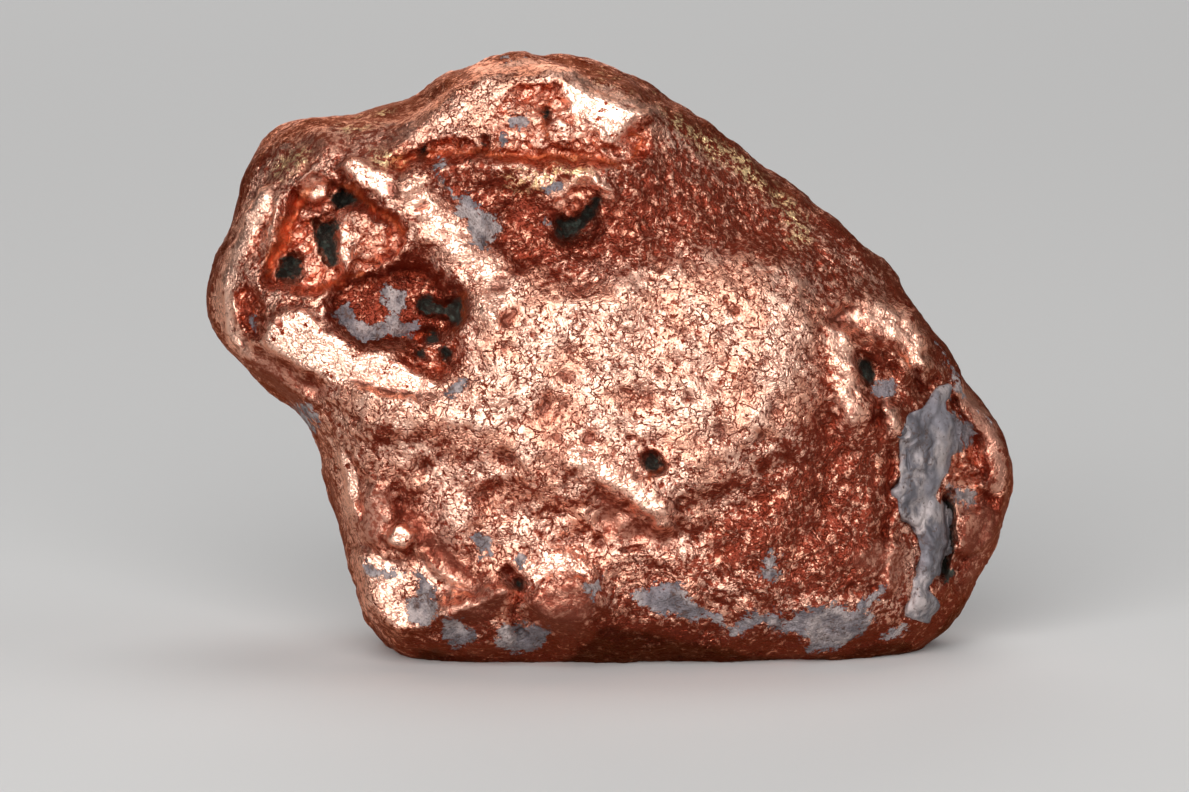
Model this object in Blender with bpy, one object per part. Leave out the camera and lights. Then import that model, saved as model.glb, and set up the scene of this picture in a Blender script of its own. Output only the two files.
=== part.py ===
"""Native copper nugget with a grey mineral filling in the cleft at its right end.

The nugget stands on a small flat at its foot: X runs along its length, -Y is its front
and +Z is up. The form is drawn over an upright plane, u to the right and v upwards, as
an outline, a dome in front of the plane and one behind it, and named ridges, hollows
and flat worn faces on each. The whole is then leaned back a little and cut flat at the
foot. Sizes are in millimetres and become metres when the vertices are placed. Places
on the front are given in the photograph's pixels, PHOTO_SCALE of them to a millimetre.
"""

from math import pi, radians

import bpy
import numpy as np
from mathutils import Matrix

MM = 0.001
PHOTO_SCALE = 40.6
PHOTO_ORIGIN = (610, 662)

# Driving dimensions
FRONT_DEPTH = 4.3
BACK_DEPTH = 4.5
LEAN = radians(8)
CENTRE = (0.0, 7.2)
FOOT_CUT = 0.15
FOOT_BLOCK = 30.0
HOLE_DEPTH = 0.7
GAP = 0.1
FILLING_THICKNESS = 1.1
FILLING_SUNK = 0.03

# How often the copper's surface is smoothed, and how many faces each solid keeps
WEAR_ROUNDS = 10
NUGGET_FACES = 8200
FILLING_FACES = 700


def seen(*points):
    """Places in the photograph's pixels as places in the upright plane."""
    return [((x - PHOTO_ORIGIN[0]) / PHOTO_SCALE, (PHOTO_ORIGIN[1] - y) / PHOTO_SCALE) for x, y in points]


# The outline seen from the front, clockwise from the right end
OUTLINE = [
    (10.0, 4.5), (9.7, 5.7), (9.0, 6.7), (8.3, 7.8), (7.5, 9.0), (6.3, 10.4), (4.7, 11.6),
    (3.1, 12.8), (1.7, 13.8), (0.2, 14.6), (-1.2, 14.95), (-2.7, 15.0), (-4.0, 14.5),
    (-5.0, 13.9), (-6.4, 13.55), (-7.7, 13.4), (-8.5, 12.9), (-9.1, 11.9), (-9.5, 10.7),
    (-9.85, 9.6), (-9.95, 8.7), (-9.6, 7.8), (-8.6, 6.8), (-7.7, 6.0), (-7.2, 4.9),
    (-6.8, 3.5), (-6.4, 2.0), (-6.0, 0.8), (-5.3, 0.1), (-3.9, -0.25), (-1.2, -0.35),
    (2.2, -0.35), (5.7, -0.25), (7.5, 0.1), (8.5, 0.9), (9.1, 2.0), (9.7, 3.1),
]

# How squarely the section turns the edge, by direction in degrees from +u
FRONT_SQUARENESS = [
    (0, 5.0), (20, 3.2), (45, 2.3), (70, 2.6), (95, 4.6), (130, 5.0), (165, 8.0), (200, 10.0),
    (235, 9.5), (255, 6.0), (300, 5.5), (335, 5.0),
]
BACK_SQUARENESS = [(0, 2.6), (60, 2.9), (120, 2.4), (180, 2.8), (230, 2.9), (270, 3.2), (320, 2.9)]

# The pocketed head at the left end
UPPER_POCKET = seen(
    (300, 192), (318, 184), (340, 186), (352, 190), (368, 206), (388, 218), (402, 236), (404, 250),
    (385, 266), (362, 274), (345, 286), (320, 292), (290, 290), (268, 284), (272, 262), (284, 238),
    (292, 214))
INNER_LOBE = seen(
    (343, 214), (360, 208), (385, 222), (402, 238), (400, 252), (380, 262), (352, 270), (342, 262),
    (338, 240))
LOWER_POCKET = seen(
    (333, 306), (345, 288), (365, 276), (388, 272), (408, 264), (428, 272), (447, 286), (463, 302),
    (464, 320), (452, 334), (425, 340), (405, 345), (385, 346), (365, 344), (350, 336), (340, 324))
RAGGED_FLOOR = seen(
    (402, 332), (430, 330), (455, 334), (463, 350), (458, 370), (440, 378), (415, 370), (402, 352))
LEFT_PIT = seen((240, 292), (255, 290), (265, 305), (268, 325), (260, 338), (248, 332), (240, 315))
BRIGHT_PLATE = seen(
    (272, 332), (284, 318), (298, 311), (316, 316), (328, 330), (342, 344), (360, 352), (386, 356),
    (412, 372), (420, 388), (392, 386), (356, 376), (322, 366), (296, 354))
LEFT_RIM = seen(
    (268, 194), (256, 214), (245, 238), (234, 268), (226, 292), (226, 315), (233, 333), (246, 350))
TONGUE_CREASE = seen((347, 187), (369, 206), (391, 219), (405, 238))
RED_LEDGE = seen((305, 219), (320, 214), (337, 210))
POCKET_DIVIDER = seen((343, 274), (365, 271), (388, 264), (406, 253))
POCKET_RIDGE = seen((416, 198), (436, 220), (458, 244), (482, 264), (496, 286), (492, 312))
HOLES = [
    seen((338, 195), (350, 192), (357, 200), (352, 208), (343, 212), (336, 205)),
    seen((318, 228), (330, 225), (340, 223), (338, 240), (342, 262), (336, 266), (328, 258), (320, 245)),
    seen((272, 276), (275, 265), (282, 256), (293, 255), (303, 262), (305, 270), (298, 277), (285, 280)),
    seen((421, 303), (432, 300), (445, 306), (455, 300), (464, 302), (464, 318), (458, 327), (448, 318),
         (435, 315), (424, 312)),
    seen((558, 221), (570, 220), (580, 218), (588, 210), (594, 200), (600, 203), (594, 216), (580, 232),
         (567, 241), (560, 236)),
    seen((541, 108), (549, 108), (552, 120), (550, 132), (543, 131)),
    seen((482, 138), (488, 135), (491, 146), (488, 155), (482, 152)),
    seen((419, 149), (425, 147), (428, 154), (423, 160)),
    seen((645, 452), (655, 455), (664, 463), (660, 470), (649, 468), (643, 461)),
    seen((855, 363), (862, 360), (870, 372), (868, 384), (860, 380)),
    seen((941, 508), (948, 500), (954, 512), (952, 540), (950, 574), (943, 578), (940, 545)),
    seen((512, 580), (520, 576), (528, 586), (520, 594)),
]

# The crown and the pit under it
CROWN_HOLLOW = seen(
    (496, 112), (512, 98), (534, 90), (556, 94), (572, 112), (590, 134), (612, 150), (600, 161),
    (560, 160), (520, 158), (500, 150), (492, 132))
CROWN_CRUMBLE = seen((424, 140), (446, 128), (480, 126), (502, 136), (506, 152), (470, 154), (430, 156))
CROWN_LEFT = seen(
    (410, 146), (420, 126), (444, 106), (474, 88), (508, 78), (548, 78), (556, 86), (520, 92),
    (504, 102), (494, 120), (470, 128), (440, 132))
CROWN_PLATE = seen(
    (560, 80), (580, 88), (600, 98), (630, 110), (650, 116), (634, 130), (614, 148), (600, 138),
    (586, 128), (574, 118), (566, 98))
CROWN_FACET = seen((612, 142), (626, 128), (642, 126), (648, 142), (642, 158), (626, 165), (612, 158))
CROWN_RIM = seen((478, 72), (520, 69), (550, 73), (575, 82), (602, 97), (650, 113))
CROWN_CREASE = seen((402, 168), (430, 159), (462, 155), (500, 159), (545, 162), (585, 163), (614, 165))
CROWN_LIP = seen((412, 180), (470, 172), (540, 176), (600, 178))
PIT_RIM = seen((558, 204), (564, 193), (578, 185), (590, 182), (600, 188), (610, 199))

# The slanting ridge on the plateau and the hollow beside it
SLANTING_RIDGE = seen((582, 452), (612, 470), (634, 488), (656, 510))
RIDGE_SHADOW = seen((592, 506), (622, 514), (646, 524), (650, 538), (626, 546), (598, 536))

# The lower left corner, its valley and the toes
CORNER_VALLEY = seen((403, 500), (424, 520), (442, 546), (456, 573), (474, 586))
VALLEY_BANK = seen((412, 524), (428, 548), (440, 570))
CORNER_PLATE = seen(
    (356, 558), (368, 550), (390, 556), (412, 552), (432, 566), (452, 584), (464, 591), (446, 602),
    (436, 618), (418, 630), (400, 632), (384, 616), (370, 596), (360, 576))
CORNER_BEAD = seen((391, 540), (392, 528), (404, 523), (416, 530), (412, 543), (400, 546))
CORNER_FOLD = seen(
    (362, 488), (380, 484), (394, 492), (396, 508), (388, 522), (380, 536), (364, 530), (358, 508))
EDGE_STRIP = seen((345, 450), (358, 452), (366, 470), (360, 490), (354, 506), (349, 488))
LEFT_TOE = seen((446, 610), (468, 603), (490, 594), (508, 588))
RIGHT_TOE = seen(
    (528, 606), (530, 584), (544, 568), (570, 562), (592, 574), (600, 598), (588, 624), (556, 632))
TOE_NOTCH = seen((510, 572), (518, 590), (517, 610), (522, 634))

# The right end
END_VALLEY = seen((815, 296), (820, 330), (824, 380), (828, 440), (820, 520))
OUTER_LOOP = seen(
    (848, 412), (845, 390), (840, 364), (834, 340), (836, 320), (852, 314), (874, 320), (894, 328),
    (906, 342), (912, 360))
INNER_LOOP = seen((866, 348), (884, 350), (898, 362), (904, 376))
LOOP_HOLLOW = seen(
    (853, 352), (862, 356), (874, 366), (892, 374), (900, 388), (888, 400), (872, 402), (860, 392),
    (854, 372))
LOOP_LUG = seen((882, 404), (890, 416), (890, 428))
END_LOBE = seen((893, 548), (890, 568), (888, 586))
END_OVAL = seen((856, 556), (860, 546), (874, 544), (884, 552), (880, 564), (864, 566))
CLEFT_LIP = seen((962, 392), (978, 410), (992, 434), (999, 460), (998, 486))
LIP_GROOVE = seen((954, 404), (968, 422), (980, 446), (984, 472))
LIP_BLOCK = seen((962, 528), (974, 512), (990, 506), (1000, 520), (994, 544), (978, 558), (964, 554))
LOWER_BLOCK = seen((960, 580), (968, 566), (984, 560), (992, 572), (978, 588), (964, 592))
BLACK_GAP = seen((946, 498), (948, 530), (945, 574))
RED_CORNER = seen((954, 424), (968, 432), (980, 450), (978, 474), (958, 480), (946, 464))

# Worn faces, nearly flat: border, softness of its edge, slopes along u and v, and how flat
TONGUE_FACE = seen(
    (346, 174), (356, 166), (375, 172), (391, 180), (399, 191), (394, 200), (374, 193), (356, 184))
RIDGE_FACE = seen(
    (416, 194), (434, 200), (456, 222), (482, 244), (504, 268), (508, 294), (490, 296), (474, 278),
    (454, 260), (436, 238), (420, 214))
RIM_FACE = seen(
    (264, 190), (252, 204), (240, 230), (230, 258), (221, 286), (220, 312), (230, 338), (248, 352),
    (250, 340), (238, 318), (237, 294), (246, 266), (256, 242), (266, 218), (274, 200))
LOOP_FACE = seen(
    (828, 316), (846, 306), (876, 310), (902, 322), (918, 344), (920, 366), (906, 362), (898, 346),
    (876, 336), (852, 336), (856, 366), (862, 394), (862, 416), (844, 414), (834, 380), (828, 344))
LIP_FACE = seen(
    (966, 392), (984, 408), (998, 432), (1006, 458), (1004, 486), (992, 484), (990, 460), (980, 434),
    (966, 412))
PLATES = [
    (BRIGHT_PLATE, 0.14, (0.16, 0.02), 1.0),
    (CORNER_PLATE, 0.2, (0.12, 0.0), 1.0),
    (CROWN_PLATE, 0.15, (0.05, -0.12), 0.9),
    (CROWN_LEFT, 0.25, (0.08, -0.3), 0.8),
    (EDGE_STRIP, 0.1, (0.2, 0.0), 0.9),
    (TONGUE_FACE, 0.08, (-0.05, -0.1), 0.9),
    (RIDGE_FACE, 0.2, (0.0, -0.05), 0.75),
    (RIM_FACE, 0.15, (0.3, 0.0), 0.7),
    (LOOP_FACE, 0.15, (-0.1, -0.1), 0.6),
    (LIP_FACE, 0.1, (-0.15, 0.0), 0.8),
]

# The cleft from top to bottom: places along its middle and half of its width, in pixels
CLEFT = [
    (943, 386, 6), (939, 398, 8), (936, 409, 14), (934, 420, 26), (935, 432, 34), (930, 448, 31),
    (924, 463, 26), (918, 478, 22), (914, 491, 22), (918, 505, 19), (925, 522, 17), (929, 537, 13),
    (930, 551, 10), (926, 566, 8), (919, 586, 10), (920, 602, 13), (919, 618, 9),
]


def curve_through(points, closed=False, steps=5):
    """Points on a smooth curve that passes through every given point."""
    given = np.array(points, float)
    count = len(given)
    if closed:
        ends = np.vstack([given[-1:], given, given[:2]])
    else:
        ends = np.vstack([2 * given[0] - given[1], given, 2 * given[-1] - given[-2]])
        count -= 1
    drawn = []
    for a, b, c, d in zip(ends[:count], ends[1:], ends[2:], ends[3:]):
        for t in np.arange(steps) / steps:
            drawn.append(0.5 * (2 * b + (c - a) * t + (2 * a - 5 * b + 4 * c - d) * t ** 2
                                + (3 * b - a - 3 * c + d) * t ** 3))
    drawn.append(drawn[0] if closed else given[-1])
    return np.array(drawn)


def distance_to(line, u, v):
    """Distance from each place to a line of straight runs."""
    nearest = np.full(u.shape, np.inf)
    for (au, av), (bu, bv) in zip(line[:-1], line[1:]):
        du, dv = bu - au, bv - av
        along = np.clip(((u - au) * du + (v - av) * dv) / (du * du + dv * dv + 1e-12), 0, 1)
        nearest = np.minimum(nearest, (u - au - along * du) ** 2 + (v - av - along * dv) ** 2)
    return np.sqrt(nearest)


def smooth_step(low, high, value):
    """Smoothly from 0 at low to 1 at high, in either direction."""
    t = np.clip((value - low) / (high - low), 0, 1)
    return t * t * (3 - 2 * t)


def around(line, u, v, margin):
    """Which places lie in a line's box widened by the margin."""
    low, high = np.min(line, axis=0) - margin, np.max(line, axis=0) + margin
    return (u > low[0]) & (u < high[0]) & (v > low[1]) & (v < high[1])


def ridge(u, v, route, width, height):
    """A rounded ridge along a route, or a groove where the height is negative."""
    line = curve_through(route)
    rise = np.zeros(u.shape)
    close = around(line, u, v, 2.6 * width)
    rise[close] = height * np.exp(-(distance_to(line, u[close], v[close]) / width) ** 2)
    return rise


def oval_distance(u, v, centre, size, turn):
    """Distance from the centre of an oval, 1 on its edge; size is its two half axes."""
    angle = radians(turn)
    du, dv = u - centre[0], v - centre[1]
    across = (du * np.cos(angle) + dv * np.sin(angle)) / size[0]
    upward = (dv * np.cos(angle) - du * np.sin(angle)) / size[1]
    return np.hypot(across, upward)


def lump(u, v, centre, size, height, turn=0.0):
    """A soft oval swelling, or a soft dip where the height is negative."""
    return height * np.exp(-1.2 * oval_distance(u, v, centre, size, turn) ** 2)


def pit(u, v, centre, size, depth, turn=0.0, wall=0.4):
    """An oval hollow with walls of its own, steeper where wall is smaller."""
    r = oval_distance(u, v, centre, size, turn)
    return -depth * (1 - smooth_step(1 - wall, 1 + wall, r)) * (1 - 0.15 * np.minimum(r, 1) ** 2)


def inside_by(u, v, border, limit):
    """How far each place lies inside a closed border, negative outside, up to the limit."""
    line = curve_through(border, closed=True)
    depth = np.full(u.shape, -limit)
    close = around(line, u, v, limit)
    cu, cv = u[close], v[close]
    within = np.zeros(cu.shape, bool)
    for (au, av), (bu, bv) in zip(line[:-1], line[1:]):
        if av != bv:
            within ^= ((av > cv) != (bv > cv)) & (cu < (bu - au) * (cv - av) / (bv - av) + au)
    depth[close] = np.where(within, 1, -1) * distance_to(line, cu, cv)
    return np.clip(depth, -limit, limit)


def shelf(u, v, border, edge, height):
    """A raised flat area inside a closed border, with sloping edges."""
    return height * smooth_step(-edge, edge, inside_by(u, v, border, edge))


def flattened(height, u, v, border, edge, slope, strength):
    """Brings the area inside a border near to a flat face with the slope given."""
    depth = inside_by(u, v, border, edge)
    if not (depth > 0).any():
        return height
    plane = slope[0] * u + slope[1] * v
    plane += (height - plane)[depth > 0].mean()
    share = strength * smooth_step(-edge, edge, depth)
    return height + share * (plane - height)


def waves(places, length, seed, count=18):
    """Irregular swells of about the given length, rising and falling by about one."""
    draw = np.random.default_rng(seed)
    ways = draw.normal(size=(count, places.shape[-1]))
    ways /= np.linalg.norm(ways, axis=1, keepdims=True)
    ways *= 2 * pi / length * draw.uniform(0.7, 1.4, (count, 1))
    swell = np.zeros(places.shape[:-1])
    for way, start in zip(ways, draw.uniform(0, 2 * pi, count)):
        swell += np.cos(places @ way + start)
    return swell * np.sqrt(2 / count)


def wavering(u, v, seed, swing):
    """The same places pushed about a little, so that no drawn line stays even."""
    places = np.stack([u, v], -1)
    return u + swing * waves(places, 0.9, seed), v + swing * waves(places, 0.9, seed + 2)


def by_direction(table, angle):
    degrees, values = zip(*table)
    return np.interp(np.degrees(angle), degrees, values, period=360)


def outline_reach(angle):
    """Distance from the centre to the outline, by direction."""
    line = curve_through(OUTLINE, closed=True) - np.array(CENTRE)
    return np.interp(angle, np.arctan2(line[:, 1], line[:, 0]), np.hypot(line[:, 0], line[:, 1]),
                     period=2 * pi)


def from_outline(u, v):
    """Direction of each place from the centre, its share of the way out, and what is left in mm."""
    angle = np.arctan2(v - CENTRE[1], u - CENTRE[0])
    reach = outline_reach(angle)
    out = np.hypot(u - CENTRE[0], v - CENTRE[1]) / reach
    return angle, out, (1 - out) * reach


def dome(u, v, depth, squareness):
    """Height of a plain dome over the outline, and how far each place is from the edge."""
    angle, out, left = from_outline(u, v)
    return depth * np.sqrt(np.clip(1 - out ** by_direction(squareness, angle), 0, 1)), left


def main_slopes(u, v):
    """The large slopes of the front: thin head, hollow under the crown, falling right side."""
    rise = lump(u, v, (-8.2, 11.0), (2.4, 3.0), -0.5)
    rise += lump(u, v, (-1.4, 10.7), (3.2, 1.25), -0.75, -4)
    rise += lump(u, v, (3.4, 11.2), (3.6, 1.6), -0.45, -34)
    rise += lump(u, v, (9.2, 4.6), (2.4, 3.6), -1.5)
    rise += lump(u, v, (6.3, 3.4), (2.2, 3.0), -0.25)
    rise += shelf(u, v, [(-3.2, 8.6), (-0.3, 9.5), (2.7, 9.9), (4.7, 9.1), (4.9, 7.2), (4.3, 5.4),
                         (2.8, 4.6), (1.2, 3.6), (-1.0, 4.0), (-3.2, 5.0), (-6.0, 5.6),
                         (-6.4, 6.6), (-4.0, 7.0)], 0.9, 0.7)
    return rise


def head(u, v):
    """The left end: a deep two-part pocket with rolled rims, a tongue and dark holes."""
    rise = shelf(u, v, UPPER_POCKET, 0.14, -1.3)
    rise += shelf(u, v, INNER_LOBE, 0.16, 0.95)
    rise += shelf(u, v, LOWER_POCKET, 0.2, -0.9)
    rise += shelf(u, v, RAGGED_FLOOR, 0.2, -0.3)
    rise += shelf(u, v, LEFT_PIT, 0.14, -0.4)
    rise += ridge(u, v, LEFT_RIM, 0.3, 0.42)
    rise += shelf(u, v, TONGUE_FACE, 0.12, 0.4)
    rise += ridge(u, v, TONGUE_CREASE, 0.1, -0.4)
    rise += ridge(u, v, RED_LEDGE, 0.13, 0.45)
    rise += ridge(u, v, POCKET_DIVIDER, 0.14, 0.25)
    rise += ridge(u, v, POCKET_RIDGE, 0.55, 0.45)
    rise += lump(u, v, (-7.25, 11.65), (0.34, 0.3), 0.85)
    rise += lump(u, v, (-4.6, 9.6), (0.5, 0.8), -0.25, 30)
    rise += ridge(u, v, [(-8.2, 8.0), (-7.3, 7.7), (-6.4, 7.1), (-5.4, 6.9)], 0.6, 0.3)
    return rise


def crown(u, v):
    """The hump at the top: a ragged hollow with a crease under it, and a pit below."""
    rise = lump(u, v, (-1.8, 13.4), (3.4, 1.2), 0.5)
    rise += ridge(u, v, CROWN_RIM, 0.34, 0.3)
    rise += shelf(u, v, CROWN_HOLLOW, 0.22, -0.5)
    rise += shelf(u, v, CROWN_CRUMBLE, 0.2, -0.22)
    rise += lump(u, v, (-3.9, 13.5), (1.2, 0.9), 0.25, 20)
    rise += shelf(u, v, CROWN_PLATE, 0.14, 0.12)
    rise += shelf(u, v, CROWN_FACET, 0.14, -0.4)
    rise += lump(u, v, (-4.1, 13.2), (1.2, 0.6), 0.35, 10)
    rise += ridge(u, v, CROWN_CREASE, 0.14, -0.5)
    rise += ridge(u, v, CROWN_LIP, 0.26, 0.14)
    rise += ridge(u, v, PIT_RIM, 0.16, 0.24)
    rise += pit(u, v, (-0.85, 10.95), (0.62, 0.6), 0.5, 0, 0.45)
    rise += lump(u, v, (-0.95, 11.2), (0.3, 0.28), 0.45)
    return rise


def plateau(u, v):
    """The broad middle: shallow dimples and one slanting ridge with a pit above it."""
    rise = pit(u, v, (-2.45, 8.5), (0.16, 0.36), 0.25, -15, 0.6)
    rise += pit(u, v, (-1.55, 6.2), (0.2, 0.26), 0.22, 0, 0.7)
    rise += pit(u, v, (-0.55, 5.5), (0.18, 0.2), 0.2, 0, 0.7)
    rise += pit(u, v, (-2.6, 4.95), (0.28, 0.22), 0.14, 0, 0.7)
    rise += ridge(u, v, SLANTING_RIDGE, 0.3, 0.42)
    rise += shelf(u, v, RIDGE_SHADOW, 0.35, -0.25)
    return rise


def foot(u, v):
    """The lower left corner with its valley, and the two toes beside it."""
    rise = ridge(u, v, CORNER_VALLEY, 0.36, -0.35)
    rise += ridge(u, v, VALLEY_BANK, 0.2, 0.2)
    rise += shelf(u, v, CORNER_PLATE, 0.2, 0.3)
    rise += shelf(u, v, CORNER_BEAD, 0.13, 0.55)
    rise += shelf(u, v, CORNER_FOLD, 0.2, 0.35)
    rise += ridge(u, v, LEFT_TOE, 0.34, 0.55)
    rise += shelf(u, v, RIGHT_TOE, 0.4, 0.8)
    rise += ridge(u, v, TOE_NOTCH, 0.17, -0.55)
    rise += lump(u, v, (-1.15, 1.2), (1.6, 0.8), 0.2)
    return rise


def right_end(u, v):
    """The right end: a valley, a looped ridge with a hole in it, the cleft and its outer lip."""
    rise = ridge(u, v, END_VALLEY, 0.3, -0.24)
    rise += ridge(u, v, OUTER_LOOP, 0.3, 0.5)
    rise += ridge(u, v, INNER_LOOP, 0.16, 0.3)
    rise += shelf(u, v, LOOP_HOLLOW, 0.14, -0.5)
    rise += ridge(u, v, LOOP_LUG, 0.22, 0.5)
    rise += ridge(u, v, END_LOBE, 0.22, 0.3)
    rise += shelf(u, v, END_OVAL, 0.14, 0.12)
    rise += lump(u, v, (6.4, 3.7), (0.35, 0.5), 0.15)
    rise += ridge(u, v, CLEFT_LIP, 0.28, 0.6)
    rise += ridge(u, v, LIP_GROOVE, 0.15, -0.35)
    rise += shelf(u, v, LIP_BLOCK, 0.1, 0.5)
    rise += shelf(u, v, LOWER_BLOCK, 0.1, 0.4)
    rise += ridge(u, v, BLACK_GAP, 0.13, -0.7)
    rise += shelf(u, v, RED_CORNER, 0.15, -0.3)
    rise += lump(u, v, (8.5, 1.8), (0.4, 0.4), 0.3)
    return rise


def back_relief(u, v):
    """The back: a long slanting furrow, three hollows and worn swellings between them."""
    rise = lump(u, v, (-7.6, 10.4), (2.2, 2.6), -0.6)
    rise += lump(u, v, (2.8, 11.4), (3.0, 1.6), -0.6, -30)
    rise += lump(u, v, (8.2, 4.4), (1.8, 3.0), -0.8)
    rise += ridge(u, v, [(-5.6, 11.4), (-3.4, 9.6), (-1.2, 8.6), (1.6, 8.0), (4.4, 8.4)], 0.7, -0.7)
    rise += ridge(u, v, [(-4.6, 12.6), (-2.0, 11.4), (0.6, 10.4)], 0.6, 0.4)
    rise += pit(u, v, (-5.2, 6.6), (1.3, 1.0), 0.7, 25, 0.5)
    rise += pit(u, v, (3.6, 4.2), (1.5, 0.9), 0.8, -35, 0.45)
    rise += pit(u, v, (6.0, 8.0), (0.8, 0.6), 0.6, 40, 0.5)
    rise += lump(u, v, (-1.6, 5.2), (2.0, 1.5), 0.5, 15)
    rise += ridge(u, v, [(0.6, 2.4), (2.2, 2.0), (4.8, 2.2), (6.4, 3.4)], 0.4, 0.45)
    rise += lump(u, v, (-4.2, 2.4), (1.2, 0.9), 0.45)
    rise += pit(u, v, (-1.0, 2.0), (0.7, 0.5), 0.4, 0, 0.6)
    return rise


def middle_plane(u, v):
    """Where the two domes meet: upright once leaned, with both ends bent to the back."""
    return -np.tan(LEAN) * (v - CENTRE[1]) + 0.007 * u * u


def copper_level(u, v):
    """Height of the front without its holes and the cleft."""
    height, left = dome(u, v, FRONT_DEPTH, FRONT_SQUARENESS)
    places = np.stack([u, v], -1)
    wu, wv = wavering(u, v, 1, 0.03)
    rise = main_slopes(wu, wv) + head(wu, wv) + crown(wu, wv) + plateau(wu, wv)
    rise += foot(wu, wv) + right_end(wu, wv)
    rise += 0.05 * waves(places, 1.7, 11)
    height += rise * smooth_step(0.0, 0.5, left)
    for plate in PLATES:
        height = flattened(height, wu, wv, *plate)
    return height


def front_height(u, v):
    """Height of the front with its dark holes."""
    height = copper_level(u, v)
    wu, wv = wavering(u, v, 5, 0.025)
    for hole in HOLES:
        height += shelf(wu, wv, hole, 0.09, -HOLE_DEPTH)
    return height


def filling_level(u, v):
    """Height of the filling's top, which follows the large slopes of the front."""
    height, left = dome(u, v, FRONT_DEPTH, FRONT_SQUARENESS)
    return height + main_slopes(u, v) * smooth_step(0.0, 0.5, left) - FILLING_SUNK


def back_height(u, v):
    height, left = dome(u, v, BACK_DEPTH, BACK_SQUARENESS)
    places = np.stack([u, v], -1)
    wu, wv = wavering(u, v, 21, 0.05)
    rise = back_relief(wu, wv)
    rise += 0.16 * waves(places, 3.0, 31) + 0.06 * waves(places, 1.4, 32)
    return height + rise * smooth_step(0.0, 1.0, left)


def leaned(u, y, v):
    """Places in the upright plane's frame, leaned back and set down on the foot."""
    placed = np.stack([u, y, v], -1) @ np.array(Matrix.Rotation(-LEAN, 3, 'X')).T
    placed[:, 2] -= FOOT_CUT
    return placed * MM


def set_vertices(mesh, places):
    mesh.vertices.foreach_set("co", places.astype(np.float32).ravel())
    mesh.update()


def vertices_of(mesh):
    places = np.empty(len(mesh.vertices) * 3, np.float32)
    mesh.vertices.foreach_get("co", places)
    return places.reshape(-1, 3).astype(float)


def material(name, colour, roughness, metallic):
    made = bpy.data.materials.new(name)
    made.use_nodes = True
    shader = made.node_tree.nodes["Principled BSDF"]
    shader.inputs["Base Color"].default_value = (*colour, 1.0)
    shader.inputs["Roughness"].default_value = roughness
    shader.inputs["Metallic"].default_value = metallic
    return made


def keep_in(collection, thing, name):
    for other in list(thing.users_collection):
        other.objects.unlink(thing)
    collection.objects.link(thing)
    thing.name = name
    thing.data.name = name
    return thing


def make_nugget(collection):
    """A fine sphere drawn out to the outline and its two domes, then thinned out."""
    bpy.ops.mesh.primitive_ico_sphere_add(subdivisions=7, radius=1.0)
    nugget = keep_in(collection, bpy.context.object, "nugget")
    sphere = vertices_of(nugget.data)
    sphere /= np.linalg.norm(sphere, axis=1, keepdims=True)
    angle = np.arctan2(sphere[:, 2], sphere[:, 0])
    out = np.hypot(sphere[:, 0], sphere[:, 2])
    reach = outline_reach(angle) * out
    u = CENTRE[0] + reach * np.cos(angle)
    v = CENTRE[1] + reach * np.sin(angle)
    front = sphere[:, 1] < 0
    y = middle_plane(u, v)
    y[front] -= front_height(u[front], v[front])
    y[~front] += back_height(u[~front], v[~front])
    places = np.stack([u, y, v], -1)
    edge = smooth_step(0.75, 1.0, out)[:, None]
    swell = 0.09 * waves(places, 2.0, 41)
    outward = np.stack([np.cos(angle), np.zeros_like(angle), np.sin(angle)], -1)
    places -= edge * outward * np.abs(swell)[:, None]
    set_vertices(nugget.data, leaned(*places.T))
    nugget.data.materials.append(material("copper", (0.72, 0.36, 0.24), 0.35, 1.0))
    return nugget


def filling_places(sphere, grow):
    """A sphere's places drawn out along the cleft; grow widens it all round."""
    places = [(*seen((x, y))[0], half / PHOTO_SCALE) for x, y, half in CLEFT]
    line = curve_through(places, steps=8)
    run = np.append(0, np.cumsum(np.hypot(*np.diff(line[:, :2], axis=0).T)))
    length = run[-1]
    along = (1 - sphere[:, 2]) / 2 * (length + 2 * grow) - grow
    u = np.interp(along, run, line[:, 0])
    v = np.interp(along, run, line[:, 1])
    v += np.clip(-along, 0, None) - np.clip(along - length, 0, None)
    half_width = np.interp(along, run, line[:, 2]) + grow
    slope = np.gradient(line[:, :2], axis=0)
    slope /= np.linalg.norm(slope, axis=1, keepdims=True)
    side_u = np.interp(along, run, -slope[:, 1])
    side_v = np.interp(along, run, slope[:, 0])
    round_off = np.maximum(np.hypot(sphere[:, 0], sphere[:, 1]), 1e-6)
    ends = np.sqrt(np.clip(1 - np.abs(sphere[:, 2]) ** 8, 0, 1))
    across = sphere[:, 0] / round_off * ends * half_width
    toward_front = -sphere[:, 1] / round_off * ends
    u = u + side_u * across
    v = v + side_v * across
    middle = filling_level(u, v) - FILLING_THICKNESS / 2
    deep = FILLING_THICKNESS / 2 + grow
    return u, v, middle, deep, toward_front


def make_filling(collection):
    """The grey mineral: a long lumpy body that lies in the cleft, level with its rims."""
    bpy.ops.mesh.primitive_uv_sphere_add(segments=40, ring_count=48, radius=1.0)
    filling = keep_in(collection, bpy.context.object, "cleft_filling")
    sphere = vertices_of(filling.data)
    u, v, middle, deep, toward_front = filling_places(sphere, 0.0)
    places = np.stack([u, v], -1)
    lumps = 0.07 * waves(places, 0.9, 51) - 0.07 + 0.03 * waves(places, 0.4, 52)
    height = middle + deep * np.sign(toward_front) * np.abs(toward_front) ** 0.6
    height += lumps * np.clip(toward_front, 0, 1)
    set_vertices(filling.data, leaned(u, middle_plane(u, v) - height, v))
    filling.data.materials.append(material("grey_mineral", (0.45, 0.44, 0.46), 0.7, 0.0))
    return filling


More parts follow.
